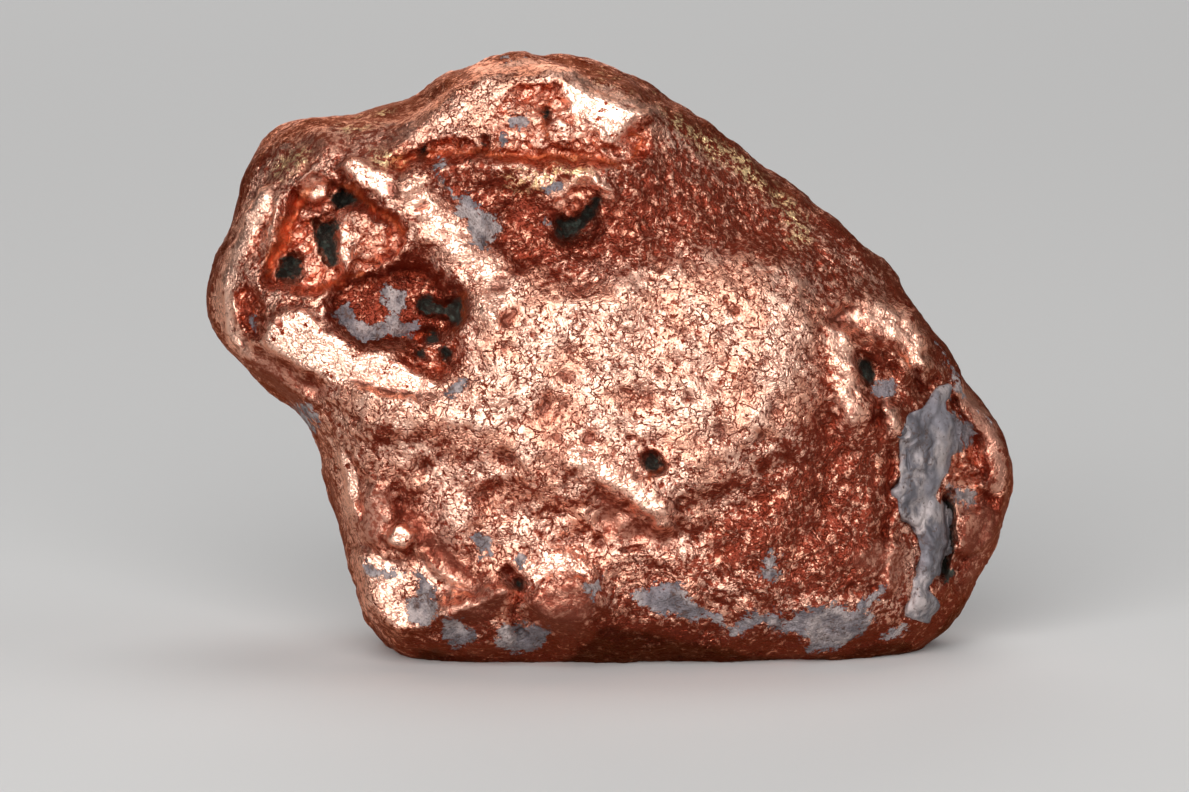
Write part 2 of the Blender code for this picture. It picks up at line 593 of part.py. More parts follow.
def make_cleft_cutter(collection):
    """The space of the filling and a gap round it, open to the front."""
    bpy.ops.mesh.primitive_uv_sphere_add(segments=28, ring_count=30, radius=1.0)
    cutter = keep_in(collection, bpy.context.object, "cleft_cutter")
    sphere = vertices_of(cutter.data)
    u, v, middle, deep, toward_front = filling_places(sphere, GAP)
    height = middle + deep * np.sign(toward_front) * np.abs(toward_front) ** 0.6
    height += 1.2 * smooth_step(0.0, 0.6, toward_front)
    set_vertices(cutter.data, leaned(u, middle_plane(u, v) - height, v))
    return cutter


def make_foot_cutter(collection):
    """A block whose top is the flat that the nugget stands on."""
    bpy.ops.mesh.primitive_cube_add(size=FOOT_BLOCK * MM, location=(0, 0, -FOOT_BLOCK / 2 * MM))
    return keep_in(collection, bpy.context.object, "foot_cutter")


def wear_down(thing, rounds):
    """Rounds off whatever is finer than the faces that are kept."""
    worn = thing.modifiers.new("worn", 'SMOOTH')
    worn.factor = 0.5
    worn.iterations = rounds


def thin_out(thing, faces):
    """Keeps about that many triangles, most where the surface bends most."""
    thinned = thing.modifiers.new("fewer_faces", 'DECIMATE')
    thinned.ratio = faces / sum(len(polygon.vertices) - 2 for polygon in thing.data.polygons)
    thinned.use_collapse_triangulate = True


def cut_with(thing, cutter):
    cut = thing.modifiers.new(cutter.name, 'BOOLEAN')
    cut.operation = 'DIFFERENCE'
    cut.solver = 'EXACT'
    cut.object = cutter
    cutter.hide_render = True
    cutter.display_type = 'WIRE'


def centre_on_origin(things):
    """Moves the finished shapes so that the nugget's box is centred over the origin."""
    places = vertices_of(things[0].data)
    middle = (places.min(axis=0) + places.max(axis=0)) / 2
    for thing in things:
        set_vertices(thing.data, vertices_of(thing.data) - (middle[0], middle[1], 0))


def main():
    for thing in list(bpy.data.objects):
        bpy.data.objects.remove(thing, do_unlink=True)
    parts = bpy.data.collections.new("copper_nugget")
    cutters = bpy.data.collections.new("cutters")
    bpy.context.scene.collection.children.link(parts)
    bpy.context.scene.collection.children.link(cutters)

    nugget = make_nugget(parts)
    filling = make_filling(parts)
    cleft_cutter = make_cleft_cutter(cutters)
    foot_cutter = make_foot_cutter(cutters)
    centre_on_origin([nugget, filling, cleft_cutter])

    wear_down(nugget, WEAR_ROUNDS)
    thin_out(nugget, NUGGET_FACES)
    thin_out(filling, FILLING_FACES)
    cut_with(nugget, cleft_cutter)
    cut_with(nugget, foot_cutter)


main()
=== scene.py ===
"""The looks of a native copper nugget: worn, crackled copper and the grey mineral in it.

The nugget is drawn again, finer, by the rules that shaped its solids: an upright plane,
u to the right and v upwards, carries an outline, a dome in front and one behind, and
named ridges, hollows and lumps. Sizes are in millimetres and become metres when the
vertices are placed. Places read off the photograph are in its pixels.
"""

from functools import reduce
from math import pi, radians

import bmesh
import bpy
import numpy as np
from mathutils import Matrix, Vector


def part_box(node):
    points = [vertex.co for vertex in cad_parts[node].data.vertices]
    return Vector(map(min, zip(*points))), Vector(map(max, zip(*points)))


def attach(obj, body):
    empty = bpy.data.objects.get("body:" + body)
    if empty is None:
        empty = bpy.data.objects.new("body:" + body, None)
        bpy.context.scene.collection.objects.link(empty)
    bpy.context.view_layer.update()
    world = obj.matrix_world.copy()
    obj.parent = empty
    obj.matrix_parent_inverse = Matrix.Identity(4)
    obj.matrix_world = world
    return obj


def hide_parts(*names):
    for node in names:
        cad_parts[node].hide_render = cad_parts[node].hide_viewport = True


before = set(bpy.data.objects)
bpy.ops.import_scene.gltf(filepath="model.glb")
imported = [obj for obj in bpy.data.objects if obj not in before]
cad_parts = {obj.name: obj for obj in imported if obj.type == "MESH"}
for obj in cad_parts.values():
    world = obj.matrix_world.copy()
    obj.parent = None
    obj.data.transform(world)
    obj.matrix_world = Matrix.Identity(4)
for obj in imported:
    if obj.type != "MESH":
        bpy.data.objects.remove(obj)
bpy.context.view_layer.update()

MM = 0.001
PHOTO_SIZE = (1189, 792)
PHOTO_SCALE = 40.6
PHOTO_ORIGIN = (610, 662)

# Driving dimensions of the form, as in the solids
FRONT_DEPTH = 4.3
BACK_DEPTH = 4.5
LEAN = radians(8)
CENTRE = (0.0, 7.2)
FOOT_CUT = 0.15
END_BEND = 0.007

# How finely the pieces are drawn, and how much more finely the nugget's front
NUGGET_TRIANGLES = 190000
FRONT_SHARE = 0.3
FILLING_GRID = (110, 250)
FILLING_MARGIN = 0.3
FILLING_THICKNESS = 0.3

# How far from the border of a film or a hole its distance is measured
REACH = 0.4

# Camera, floor and lights in metres: each light's name, place, size and radiance
CAMERA_DISTANCE = 0.25
FLOOR_RADIUS = 1.5
LIT_PLACE = (0, 0, 0.007)
LIGHTS = [
    ("key", (-0.05, -0.34, 0.095), 0.42, 7.6),
    ("overhead", (0.05, 0.10, 0.38), 0.26, 2.3),
    ("side", (0.33, -0.06, 0.22), 0.24, 1.2),
    ("back", (-0.05, 0.36, 0.12), 0.26, 2.2),
]


def seen(*pixels):
    """Places in the upright plane for pairs of the photograph's pixels, x and then y."""
    return [((x - PHOTO_ORIGIN[0]) / PHOTO_SCALE, (PHOTO_ORIGIN[1] - y) / PHOTO_SCALE)
            for x, y in zip(pixels[::2], pixels[1::2])]


def each_seen(*drawn):
    """Several borders or routes read off the photograph."""
    return [seen(*pixels) for pixels in drawn]


def curve_through(points, closed=False, steps=5):
    """Points on a smooth curve that passes through every given point."""
    given = np.array(points, float)
    count = len(given)
    if closed:
        ends = np.vstack([given[-1:], given, given[:2]])
    else:
        ends = np.vstack([2 * given[0] - given[1], given, 2 * given[-1] - given[-2]])
        count -= 1
    drawn = []
    for a, b, c, d in zip(ends[:count], ends[1:], ends[2:], ends[3:]):
        for t in np.arange(steps) / steps:
            drawn.append(0.5 * (2 * b + (c - a) * t + (2 * a - 5 * b + 4 * c - d) * t ** 2
                                + (3 * b - a - 3 * c + d) * t ** 3))
    drawn.append(drawn[0] if closed else given[-1])
    return np.array(drawn)


def distance_to(line, u, v):
    """Distance from each place to a line of straight runs."""
    nearest = np.full(u.shape, np.inf)
    for (au, av), (bu, bv) in zip(line[:-1], line[1:]):
        du, dv = bu - au, bv - av
        along = np.clip(((u - au) * du + (v - av) * dv) / (du * du + dv * dv + 1e-12), 0, 1)
        nearest = np.minimum(nearest, (u - au - along * du) ** 2 + (v - av - along * dv) ** 2)
    return np.sqrt(nearest)


def smooth_step(low, high, value):
    """Smoothly from 0 at low to 1 at high, in either direction."""
    t = np.clip((value - low) / (high - low), 0, 1)
    return t * t * (3 - 2 * t)


def around(line, u, v, margin):
    """Which places lie in a line's box widened by the margin."""
    low, high = np.min(line, axis=0) - margin, np.max(line, axis=0) + margin
    return (u > low[0]) & (u < high[0]) & (v > low[1]) & (v < high[1])


def ridge(u, v, route, width, height):
    """A rounded ridge along a route, or a groove where the height is negative."""
    line = curve_through(route)
    rise = np.zeros(u.shape)
    close = around(line, u, v, 2.6 * width)
    rise[close] = height * np.exp(-(distance_to(line, u[close], v[close]) / width) ** 2)
    return rise


def oval_distance(u, v, centre, size, turn):
    """Distance from the centre of an oval, 1 on its edge; size is its two half axes."""
    angle = radians(turn)
    du, dv = u - centre[0], v - centre[1]
    across = (du * np.cos(angle) + dv * np.sin(angle)) / size[0]
    upward = (dv * np.cos(angle) - du * np.sin(angle)) / size[1]
    return np.hypot(across, upward)


def lump(u, v, centre, size, height, turn=0.0):
    """A soft oval swelling, or a soft dip where the height is negative."""
    return height * np.exp(-1.2 * oval_distance(u, v, centre, size, turn) ** 2)


def pit(u, v, centre, size, depth, turn=0.0, wall=0.4):
    """An oval hollow with walls of its own, steeper where wall is smaller."""
    r = oval_distance(u, v, centre, size, turn)
    return -depth * (1 - smooth_step(1 - wall, 1 + wall, r)) * (1 - 0.15 * np.minimum(r, 1) ** 2)


def inside_by(u, v, border, limit):
    """How far each place lies inside a closed border, negative outside, up to the limit."""
    line = curve_through(border, closed=True)
    depth = np.full(u.shape, -limit)
    close = around(line, u, v, limit)
    cu, cv = u[close], v[close]
    within = np.zeros(cu.shape, bool)
    for (au, av), (bu, bv) in zip(line[:-1], line[1:]):
        if av != bv:
            within ^= ((av > cv) != (bv > cv)) & (cu < (bu - au) * (cv - av) / (bv - av) + au)
    depth[close] = np.where(within, 1, -1) * distance_to(line, cu, cv)
    return np.clip(depth, -limit, limit)


def shelf(u, v, border, edge, height):
    """A raised flat area inside a closed border, with sloping edges."""
    return height * smooth_step(-edge, edge, inside_by(u, v, border, edge))


def thread(u, v, route, reach):
    """How far each place lies within reach of a route, negative beyond it."""
    return reach - distance_to(curve_through(route), u, v)


def heights(u, v, forms):
    """The height of each form in turn; the forms are grouped by kind."""
    return (kind(u, v, *numbers) for kind, group in forms.items() for numbers in group)


def raised(u, v, forms):
    """The sum of several forms at each place."""
    return sum(heights(u, v, forms))


def highest(u, v, forms):
    """The highest of several forms at each place."""
    return reduce(np.maximum, heights(u, v, forms))


# The outline seen from the front, clockwise from the right end
OUTLINE = [
    (10.0, 4.5), (9.7, 5.7), (9.0, 6.7), (8.3, 7.8), (7.5, 9.0), (6.3, 10.4), (4.7, 11.6),
    (3.1, 12.8), (1.7, 13.8), (0.2, 14.6), (-1.2, 14.95), (-2.7, 15.0), (-4.0, 14.5),
    (-5.0, 13.9), (-6.4, 13.55), (-7.7, 13.4), (-8.5, 12.9), (-9.1, 11.9), (-9.5, 10.7),
    (-9.85, 9.6), (-9.95, 8.7), (-9.6, 7.8), (-8.6, 6.8), (-7.7, 6.0), (-7.2, 4.9),
    (-6.8, 3.5), (-6.4, 2.0), (-6.0, 0.8), (-5.3, 0.1), (-3.9, -0.25), (-1.2, -0.35),
    (2.2, -0.35), (5.7, -0.25), (7.5, 0.1), (8.5, 0.9), (9.1, 2.0), (9.7, 3.1),
]

# How squarely the section turns the edge, by direction in degrees from +u
FRONT_SQUARENESS = [
    (0, 5.0), (20, 3.2), (45, 2.3), (70, 2.6), (95, 4.6), (130, 5.0), (165, 8.0), (200, 10.0),
    (235, 9.5), (255, 6.0), (300, 5.5), (335, 5.0),
]
BACK_SQUARENESS = [(0, 2.6), (60, 2.9), (120, 2.4), (180, 2.8), (230, 2.9), (270, 3.2), (320, 2.9)]

# The pocketed head at the left end
UPPER_POCKET = seen(
    300,192, 318,184, 340,186, 352,190, 368,206, 388,218, 402,236, 404,250, 385,266, 362,274, 345,286,
    320,292, 290,290, 268,284, 272,262, 284,238, 292,214)
INNER_LOBE = seen(343,214, 360,208, 385,222, 402,238, 400,252, 380,262, 352,270, 342,262, 338,240)
LOWER_POCKET = seen(
    333,306, 345,288, 365,276, 388,272, 408,264, 428,272, 447,286, 463,302, 464,320, 452,334, 425,340,
    405,345, 385,346, 365,344, 350,336, 340,324)
RAGGED_FLOOR = seen(402,332, 430,330, 455,334, 463,350, 458,370, 440,378, 415,370, 402,352)
LEFT_PIT = seen(240,292, 255,290, 265,305, 268,325, 260,338, 248,332, 240,315)
BRIGHT_PLATE = seen(
    264,343, 272,326, 284,313, 300,311, 316,316, 332,328, 344,342, 360,350, 384,354, 410,366, 434,380,
    436,396, 408,396, 378,390, 346,384, 316,374, 290,362, 270,352)
BROWN_BAND = seen(246,352, 272,356, 300,372, 326,388, 316,398, 286,386, 256,372)
LEFT_RIM = seen(268,194, 256,214, 245,238, 234,268, 226,292, 226,315, 233,333, 246,350)
RIM_SLIVER = seen(279,202, 276,222, 269,246)
ORANGE_WALL = seen(308,196, 296,216, 288,238, 278,256, 270,272)
TONGUE_CREASE = seen(347,187, 369,206, 391,219, 405,238)
RED_LEDGE = seen(305,219, 320,214, 337,210)
POCKET_DIVIDER = seen(343,274, 365,271, 388,264, 406,253)
LOBE_EDGE = seen(341,232, 341,252, 349,267)
LOBE_FACE = seen(341,236, 350,232, 358,244, 355,260, 346,270, 339,262)
LOBE_FOLDS = each_seen(
    (352,214, 372,222, 386,234, 390,246),
    (356,232, 370,234, 382,246),
    (352,246, 364,250, 372,258))
POCKET_RIDGE = seen(416,198, 436,220, 458,244, 482,264, 496,286, 492,312)

# The crown, and the pit under it
CROWN_HOLLOW = seen(
    496,112, 512,98, 534,90, 556,94, 572,112, 590,134, 612,150, 600,161, 560,160, 520,158, 500,150,
    492,132)
CROWN_CRUMBLE = seen(422,150, 446,143, 474,142, 500,144, 508,154, 470,157, 430,158)
CROWN_LEFT = seen(
    404,148, 416,124, 440,104, 470,86, 508,76, 548,76, 558,85, 524,92, 508,102, 502,120, 500,138,
    484,143, 462,137, 440,142, 420,150)
CROWN_PLATE = seen(
    560,80, 580,88, 600,98, 630,110, 650,116, 634,130, 614,148, 600,138, 586,128, 574,118, 566,98)
CROWN_FACET = seen(612,142, 626,128, 642,126, 648,142, 642,158, 626,165, 612,158)
CROWN_RIM = seen(478,72, 520,69, 550,73, 575,82, 602,97, 650,113)
CROWN_CREASE = seen(402,168, 430,159, 462,155, 500,159, 545,162, 585,163, 614,165)
CROWN_LIP = seen(412,180, 470,172, 540,176, 600,178)
PIT_RIM = seen(558,204, 564,193, 578,185, 590,182, 600,188, 610,199)
PIT_SPUR = seen(600,218, 618,220, 634,222)
PIT_CRUMBS = seen(554,206, 562,196, 578,192, 592,198, 590,210, 576,218, 560,216)

# The slanting ridge in the broad middle
SLANTING_RIDGE = seen(578,456, 606,470, 632,490, 656,512)
RIDGE_SHADOW = seen(600,494, 624,508, 648,524, 672,530, 674,540, 648,546, 618,538, 598,520)

# The lower left corner, its valley and the toes
CORNER_VALLEY = seen(403,500, 424,520, 442,546, 456,573, 474,586)
CORNER_PLATE = seen(
    356,556, 372,551, 398,552, 422,550, 440,568, 462,580, 480,586, 478,593, 452,596, 440,608, 430,622,
    412,632, 394,630, 378,618, 365,600, 357,578)
CORNER_SHINE = each_seen(
    (362,558, 384,555, 404,561, 409,580, 399,592, 378,588, 366,574),
    (388,600, 402,596, 414,608, 411,622, 396,623, 384,612),
    (428,556, 446,570, 474,585, 458,592, 438,590, 428,574))
CORNER_BEAD = seen(391,540, 392,528, 404,523, 416,530, 412,543, 400,546)
CORNER_FOLD = seen(366,490, 380,486, 394,494, 397,510, 392,528, 384,544, 366,546, 358,526, 360,506)
VALLEY_FLOOR = seen(
    404,500, 418,512, 440,534, 462,556, 480,576, 476,584, 452,574, 430,556, 418,538, 406,518)
CORNER_CREASES = each_seen(
    (402,500, 400,514, 392,526, 387,542),
    (352,456, 364,474, 370,488, 360,502, 364,518),
    (362,551, 384,549, 404,549, 424,546))
EDGE_STRIP = seen(339,454, 350,456, 362,474, 366,488, 357,502, 358,518, 350,508, 344,480)
LEFT_TOE = seen(446,610, 468,603, 490,594, 508,588)
LEFT_TOE_FACE = seen(443,606, 470,595, 498,583, 514,578, 511,592, 500,606, 482,619, 462,618)
RIGHT_TOE = seen(528,606, 530,584, 544,568, 570,562, 592,574, 600,598, 588,624, 556,632)
RIGHT_TOE_FACE = seen(530,600, 546,582, 572,578, 596,586, 596,608, 578,628, 548,630)
TOE_TOPS = seen(530,566, 552,560, 578,562)
TOE_TOP_FACE = seen(522,562, 534,552, 558,548, 584,552, 594,566, 586,578, 558,576, 532,580)
TOE_NOTCH = seen(510,572, 518,590, 517,610, 522,634)
NOTCH_CRUMBS = seen(506,596, 516,588, 528,598, 530,620, 524,640, 508,636, 500,616)

# The right end
END_VALLEY = seen(815,296, 820,330, 824,380, 828,440, 820,520)
VALLEY_BAND = seen(808,300, 822,296, 830,330, 834,400, 836,450, 818,456, 812,400, 810,340)
OUTER_LOOP = seen(
    848,412, 845,390, 840,364, 834,340, 836,320, 852,314, 874,320, 894,328, 906,342, 912,360)
INNER_LOOP = seen(866,348, 884,350, 898,362, 904,376)
LOOP_HOLLOW = seen(853,352, 862,356, 874,366, 892,374, 900,388, 888,400, 872,402, 860,392, 854,372)
LOOP_LUG = seen(882,404, 890,416, 890,428)
END_CREVICES = each_seen(
    (906,348, 912,370, 922,388, 932,382),
    (873,398, 875,416, 878,432),
    (888,456, 884,480, 888,508, 882,534))
END_LOBE = seen(893,548, 890,568, 888,586)
END_LOBE_FACE = seen(884,548, 896,544, 902,560, 896,584, 886,592, 880,576)
END_OVAL = seen(856,556, 860,546, 874,544, 884,552, 880,564, 864,566)
CLEFT_LIP = seen(962,392, 978,410, 992,434, 999,460, 998,486)
LIP_GROOVE = seen(954,404, 968,422, 980,446, 984,472)
LIP_BLOCK = seen(962,528, 974,512, 990,506, 1000,520, 994,544, 978,558, 964,554)
LOWER_BLOCK = seen(960,580, 968,566, 984,560, 992,572, 978,588, 964,592)
BLACK_GAP = seen(946,498, 948,530, 945,574)
RED_CORNER = seen(954,424, 968,432, 980,450, 978,474, 958,480, 946,464)
RED_LEDGE_END = seen(950,475, 966,472, 980,470)
CRUMBS = seen(942,482, 958,478, 978,484, 984,500, 966,508, 948,500)

# Worn faces
KNOB = seen(302,187, 308,178, 320,175, 331,181, 333,192, 326,202, 313,204, 304,197)
SLANTING_FACE = seen(
    566,450, 588,442, 612,452, 638,472, 660,494, 672,514, 656,520, 632,504, 604,486, 578,468)
TONGUE_FACE = seen(343,170, 353,163, 368,165, 384,173, 399,185, 404,196, 397,202, 377,195, 357,185)
RIDGE_FACE = seen(
    417,197, 433,196, 454,210, 476,232, 500,256, 510,284, 496,297, 480,287, 463,270, 448,250, 432,230,
    420,213)
RIM_FACE = seen(
    264,190, 252,204, 240,230, 230,258, 221,286, 220,312, 230,338, 248,352, 250,340, 238,318, 237,294,
    246,266, 256,242, 266,218, 274,200)
LOOP_LEG = seen(829,334, 846,332, 854,348, 856,368, 863,392, 866,416, 844,416, 832,384, 827,356)
LOOP_ARCH = seen(
    829,320, 840,306, 858,301, 880,302, 908,314, 926,340, 926,368, 910,366, 900,352, 878,342, 858,340,
    842,332)
GOLD_FACE = seen(514,179, 530,174, 548,173, 562,176, 556,187, 540,192, 522,191)
LIP_FACE = seen(966,392, 984,408, 998,432, 1006,458, 1004,486, 992,484, 990,460, 980,434, 966,412)

# Soft zones of the front
TROUGH = seen(440,176, 500,182, 600,184, 650,196, 690,240, 650,262, 570,266, 510,266, 470,236)
UPPER_RIGHT = seen(
    640,150, 700,168, 780,212, 840,262, 880,310, 840,300, 790,268, 700,256, 640,258, 600,240)
RIGHT_SIDE = seen(
    826,300, 860,290, 920,330, 960,400, 900,470, 890,560, 860,600, 780,590, 700,560, 740,500, 790,450,
    822,380)
PLATEAU_WORN = seen(
    480,274, 560,292, 640,276, 720,262, 800,284, 820,330, 806,400, 760,440, 700,470, 640,440, 560,470,
    480,440, 400,430, 340,380, 400,376, 470,380)
SHOULDER = seen(648,284, 700,266, 760,262, 802,284, 812,326, 784,354, 734,346, 682,328, 650,308)
HEAD_TOP = seen(270,180, 290,150, 340,120, 420,90, 440,110, 420,150, 400,172, 350,165, 300,178)
BOTTOM = seen(
    420,640, 480,650, 560,650, 600,616, 640,620, 720,636, 800,652, 870,636, 920,640, 940,680, 700,710,
    400,700)
RIGHT_EDGE = seen(
    1004,492, 1016,470, 1012,530, 992,590, 960,640, 930,690, 896,690, 926,632, 950,602, 974,578, 992,546)
LOWER_MIDDLE = seen(350,400, 480,440, 640,440, 720,500, 660,560, 560,572, 470,566, 420,500, 360,450)

# Small holes, painted near black inside as shade, with a green tint
HOLES = each_seen(
    (342,190, 349,196, 356,203, 350,207, 341,211, 339,202),
    (318,228, 330,225, 340,223, 338,240, 342,262, 336,266, 328,258, 320,245),
    (279,277, 284,266, 289,258, 297,256, 304,262, 305,270, 298,277, 288,280),
    (421,303, 432,300, 445,306, 455,300, 464,302, 464,318, 458,327, 448,318, 435,315, 424,312),
    (558,221, 570,220, 580,218, 588,210, 594,200, 600,203, 594,216, 580,232, 567,241, 560,236),
    (543,116, 548,114, 549,124, 545,128),
    (484,144, 489,142, 490,150, 486,152),
    (423,151, 428,150, 428,155, 424,157),
    (645,452, 655,455, 664,463, 660,470, 649,468, 643,461),
    (855,363, 862,360, 870,372, 868,384, 860,380),
    (941,508, 948,500, 954,512, 952,540, 950,574, 943,578, 940,545),
    (515,577, 520,574, 525,581, 519,586),
    (430,336, 437,333, 440,341, 433,344),
    (419,350, 426,348, 428,356, 421,357),
    (444,352, 451,350, 453,359, 446,362))

# The grey mineral: the body in the cleft, and the thin films on the copper
FILLING = seen(
    940,386, 948,384, 947,398, 942,408, 948,414, 953,424, 954,436, 957,444, 951,458, 943,473, 938,485,
    933,497, 940,507, 943,527, 940,551, 933,569, 928,586, 933,601, 933,614, 921,621, 906,613, 908,601,
    911,586, 918,566, 921,551, 916,537, 906,522, 898,512, 898,500, 890,490, 898,477, 898,463, 898,443,
    901,428, 907,416, 920,409, 932,395)
FILLING_STREAK = seen(931,394, 938,420, 944,450, 938,488, 924,516)
FILLING_PATCHES = each_seen(
    (898,420, 916,410, 932,420, 932,452, 926,474, 908,480, 898,462),
    (890,480, 906,480, 924,492, 918,510, 902,508),
    (934,520, 941,530, 938,556, 931,562, 928,540))
FILMS = each_seen(
    (436,166, 444,162, 448,165, 443,172, 437,172),
    (438,178, 444,178, 447,186, 441,187),
    (464,204, 466,198, 477,200, 479,216, 496,221, 504,226, 503,236, 488,251, 480,248, 472,232, 468,220,
     458,214),
    (546,186, 552,188, 560,187, 560,194, 554,198, 548,194),
    (543,221, 548,222, 552,229, 549,233, 543,228),
    (341,312, 348,304, 356,308, 358,320, 366,326, 380,326, 392,322, 404,320, 418,322, 421,330, 407,338,
     385,340, 366,344, 351,338, 341,324),
    (384,294, 392,288, 402,290, 408,296, 406,306, 402,314, 405,324, 396,328, 390,320, 393,310, 386,304),
    (255,320, 263,318, 262,332, 256,331),
    (634,589, 650,584, 677,582, 684,579, 686,594, 698,601, 720,616, 716,622, 701,612, 689,618, 674,613,
     655,610, 641,606, 634,598),
    (722,622, 734,620, 749,610, 763,615, 775,606, 782,618, 804,606, 828,603, 850,606, 864,594, 883,582,
     881,594, 864,608, 874,615, 864,630, 850,639, 830,649, 809,652, 806,637, 787,632, 773,625, 754,625,
     739,634, 727,630),
    (881,630, 907,622, 905,634, 884,638),
    (757,570, 760,560, 768,553, 776,556, 772,562, 778,574, 768,578, 760,576),
    (588,580, 600,578, 598,590, 588,593),
    (474,534, 489,533, 494,549, 484,555, 477,549),
    (515,557, 526,555, 528,567, 518,569),
    (366,562, 376,563, 384,568, 398,565, 402,573, 390,577, 380,575, 370,573),
    (408,604, 416,592, 418,580, 412,570, 420,570, 428,578, 438,584, 434,594, 443,604, 440,612, 429,621,
     418,618),
    (442,620, 460,618, 476,630, 470,643, 450,642),
    (500,628, 522,622, 548,626, 544,646, 520,650, 502,644),
    (292,404, 312,402, 319,418, 312,434, 304,438, 300,420),
    (452,386, 468,384, 466,392, 452,395),
    (502,140, 510,142, 511,149, 503,148),
    (511,119, 526,120, 524,131, 512,130),
    (951,376, 966,380, 974,394, 966,397, 956,388),
    (866,378, 880,380, 890,378, 892,388, 884,396, 870,394),
    (946,410, 958,416, 972,426, 974,438, 964,446, 952,450, 944,430),
    (950,484, 966,488, 976,498, 966,506, 950,498),
    (484,57, 518,54, 532,62, 520,64, 486,62))
BACK_FILMS = [
    [(-3.9, 9.9), (-3.3, 9.8), (-2.4, 9.2), (-1.3, 8.8), (-0.5, 8.9), (-0.9, 8.4), (-1.9, 8.5), (-2.9, 8.9),
     (-3.6, 9.4)],
    [(2.8, 4.1), (3.4, 4.6), (4.3, 4.3), (4.7, 3.8), (4.0, 3.6), (3.3, 3.4)],
    [(-5.8, 3.3), (-5.2, 3.8), (-4.5, 3.3), (-3.9, 3.6), (-4.0, 2.8), (-4.8, 2.4), (-5.5, 2.7)],
    [(5.6, 7.9), (6.1, 8.4), (6.6, 8.0), (6.3, 7.5), (5.9, 7.6)],
    [(-8.6, 9.4), (-8.0, 9.9), (-7.6, 9.3), (-8.1, 8.8)],
]
FILM_THREADS = each_seen(
    (446,188, 452,194, 460,200),
    (918,303, 938,344, 953,371, 967,389, 982,408, 996,426),
    (703,609, 722,621))

# Gold to olive tarnish on the worn high places, partly painted glints
GOLD_SPOTS = each_seen(
    (283,172, 296,164, 306,156),
    (349,126, 366,122, 386,112),
    (384,164, 398,162),
    (516,182, 526,184, 538,186),
    (548,179, 558,177),
    (573,175, 582,173),
    (602,77, 630,88, 650,98, 668,114, 700,144, 740,165),
    (740,165, 790,215, 800,240))

# Painted orange reflection glow on clean steep copper: route, width, and 1 for red to 2 for orange
PAINTED_GLOWS = [
    (ORANGE_WALL, 0.15, 1.9),
    (TONGUE_CREASE, 0.08, 1.5),
    (CROWN_CREASE, 0.15, 1.0),
    (seen(628,136, 638,146, 632,160), 0.08, 1.4),
    (seen(464,298, 466,316, 458,332), 0.07, 1.2),
    (seen(545,104, 547,136), 0.1, 1.0),
    (seen(320,290, 345,284, 362,274), 0.08, 1.2),
    (seen(650,474, 662,470), 0.06, 1.2),
]

# How far painted shade reaches in from the outline, in millimetres, by direction
EDGE_SHADE_REACH = [
    (0, 0.7), (30, 0.9), (60, 1.0), (100, 1.1), (130, 0.7), (180, 0.4), (230, 0.3), (255, 0.7),
    (300, 1.2), (325, 1.4), (345, 1.0),
]

# Forms of the front and the back, grouped by kind, each with its numbers: the width and height of
# a ridge, the edge and height of a shelf, or the centre, half axes, height, turn and wall of a
# lump or a pit

# The large slopes of the front: thin head, hollow under the crown, falling right side
SLOPES = {
    lump: [
        ((-8.2, 11.0), (2.4, 3.0), -0.5), ((-1.4, 10.7), (3.2, 1.25), -0.75, -4),
        ((3.4, 11.2), (3.6, 1.6), -0.45, -34), ((9.2, 4.6), (2.4, 3.6), -1.5),
        ((6.3, 3.4), (2.2, 3.0), -0.25)],
    shelf: [
        ([(-3.2, 8.6), (-0.3, 9.5), (2.7, 9.9), (4.7, 9.1), (4.9, 7.2), (4.3, 5.4), (2.8, 4.6),
          (1.2, 3.6), (-1.0, 4.0), (-3.2, 5.0), (-6.0, 5.6), (-6.4, 6.6), (-4.0, 7.0)], 0.9, 0.7)],
}

# The left end: a deep two-part pocket with rolled rims, a tongue and dark holes
HEAD = {
    shelf: [
        (UPPER_POCKET, 0.14, -1.3), (INNER_LOBE, 0.16, 0.95), (LOWER_POCKET, 0.2, -0.9),
        (RAGGED_FLOOR, 0.2, -0.3), (LEFT_PIT, 0.14, -0.4), (TONGUE_FACE, 0.12, 0.4), (KNOB, 0.1, 0.5)],
    ridge: [
        (LEFT_RIM, 0.3, 0.42), (RIM_SLIVER, 0.12, 0.24), (TONGUE_CREASE, 0.1, -0.4),
        (RED_LEDGE, 0.13, 0.45), (POCKET_DIVIDER, 0.14, 0.25), (LOBE_EDGE, 0.1, 0.18),
        *[(fold, 0.1, 0.12) for fold in LOBE_FOLDS], (POCKET_RIDGE, 0.55, 0.45),
        ([(-8.2, 8.0), (-7.3, 7.7), (-6.4, 7.1), (-5.4, 6.9)], 0.6, 0.3)],
    lump: [((-4.6, 9.6), (0.5, 0.8), -0.25, 30)],
}

# The hump at the top: a ragged hollow with a crease under it, and a pit below
CROWN = {
    lump: [
        ((-1.8, 13.4), (3.4, 1.2), 0.5), ((-3.9, 13.5), (1.2, 0.9), 0.25, 20),
        ((-4.1, 13.2), (1.2, 0.6), 0.35, 10)],
    ridge: [
        (CROWN_RIM, 0.34, 0.3), (CROWN_CREASE, 0.18, -0.45), (CROWN_LIP, 0.26, 0.14),
        (PIT_RIM, 0.16, 0.24), (PIT_SPUR, 0.1, 0.12)],
    shelf: [
        (CROWN_HOLLOW, 0.22, -0.5), (CROWN_CRUMBLE, 0.2, -0.22), (CROWN_PLATE, 0.14, 0.12),
        (CROWN_FACET, 0.14, -0.4), (PIT_CRUMBS, 0.12, 0.1)],
    pit: [((-0.8, 10.7), (0.55, 0.42), 0.5, 15, 0.45)],
}

